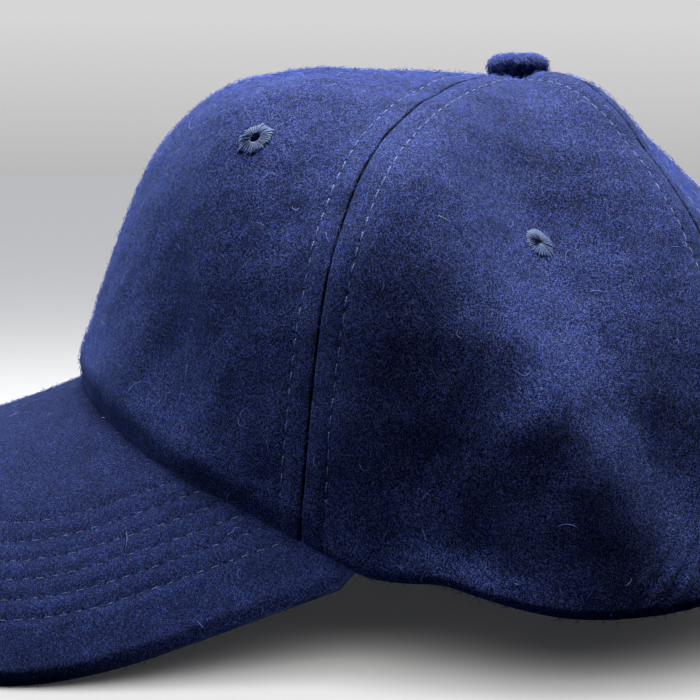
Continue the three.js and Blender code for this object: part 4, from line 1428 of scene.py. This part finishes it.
def lamp(name, place, aim, size, power, colour=(1, 1, 1), spread=180):
    """An oblong area light that faces a point; spread is the angle of its beam in degrees."""
    light = new_light(name, "AREA", power)
    light.data.shape = "RECTANGLE"
    light.data.size, light.data.size_y = size
    light.data.color = colour
    light.data.spread = math.radians(spread)
    way = np.array(aim, float) - np.array(place, float)
    back = -unit(way)
    right = unit(np.cross([0.0, 1.0, 0.0] if abs(back[2]) > 0.95 else [0, 0, 1.0], back))
    up = np.cross(back, right)
    light.matrix_world = Matrix([[right[r], up[r], back[r], place[r]] for r in range(3)] + [[0, 0, 0, 1]])
    light.visible_camera = False
    return light


print("lights so far:", len(bpy.data.lights))

# %% [markdown]
# Each group of lamps shines on its own pieces. The numbers are watts, or watts per square metre for
# the suns; all lamps are large, because small ones would draw hard shadows.

# %% Lamps
def shine_on(name, lights, pieces, state):
    """Links lamps to these pieces alone (INCLUDE) or to everything else (EXCLUDE)."""
    group = bpy.data.collections.new(name)
    for piece in pieces:
        group.objects.link(piece)
    for held in group.collection_objects:
        held.light_linking.link_state = state
    for light in lights:
        light.light_linking.receiver_collection = group


cap_lamps = [lamp("ceiling", (-1.1, 0.0, 1.5), (-1.1, 0, 0.0), (2.8, 3.0), 66),
             lamp("overhead", (-0.1, 0.03, 0.85), (-0.08, 0, 0.05), (0.45, 0.8), 37, (0.98, 0.99, 1.0)),
             lamp("near", (0.05, -1.0, 0.35), (0.0, -0.03, 0.05), (0.8, 0.5), 5.1, (0.62, 0.77, 1.0))]
table_lamps = [sun("sky", 2.1, 52, 18), sun("under", 0.75, 12, 81),
               lamp("glow", (-0.2, 0.0, 0.25), (-0.2, 0, 0.0), (0.15, 0.7), 0.78),
               lamp("low", (0.6, -0.03, 0.42), (0.1, 0, 0.0), (0.8, 0.3), 0.95, (1.0, 0.99, 0.97), 80)]
peak_lamps = [lamp("bounce_left", (0.2, -0.12, 0.002), (0.2, -0.12, 1), (0.2, 0.5), 1.4),
              lamp("bounce_right", (-0.2, -0.12, 0.002), (-0.2, -0.12, 1), (0.2, 0.5), 1.4),
              lamp("bounce_front", (0.0, -0.28, 0.002), (0, -0.28, 1), (0.3, 0.2), 0.7)]
peak_pieces = [bpy.data.objects[name] for name in PIECES if "peak" in name]
shine_on("not_table", cap_lamps, [table], "EXCLUDE")
shine_on("table_only", table_lamps, [table], "INCLUDE")
shine_on("peak_only", peak_lamps, peak_pieces, "INCLUDE")
print("lights:", len(bpy.data.lights))

# %% [markdown]
# ## The room
# The backdrop is a pale wall, a little brighter higher up. Only the camera sees it; the cloth gets
# a weak bluish light from all round instead, which keeps its shadows navy.

# %% Room
world = bpy.data.worlds.new("room")
bpy.context.scene.world = world
world.use_nodes = True
tree = world.node_tree
background = next(n for n in tree.nodes if n.type == "BACKGROUND")
seen = tree.nodes.new("ShaderNodeLightPath").outputs["Is Camera Ray"]
place = tree.nodes.new("ShaderNodeTexCoord").outputs["Generated"]
height = add(tree, "ShaderNodeSeparateXYZ", place).outputs[2]
upper_wall = sum_of(tree, "MULTIPLY_ADD", height, 10.0, 0.5, clamp=True)
wall = blend(tree, upper_wall, (0.46, 0.46, 0.465, 1), (0.68, 0.67, 0.67, 1))
tree.links.new(blend(tree, seen, (0.014, 0.02, 0.052, 1), wall), background.inputs["Color"])
background.inputs["Strength"].default_value = 1.0
bpy.context.scene.view_settings.view_transform = "Standard"
print("view transform:", bpy.context.scene.view_settings.view_transform)

# %% [markdown]
# ## Triangle count
# The dressed cap must stay in the solids' box, apart from the little that cloth stands proud. The
# last cell counts the triangles of all pieces and names the largest.

# %% Finish
print("triangles:", sum(PIECES.values()), "most:", max(PIECES.items(), key=lambda item: item[1]))
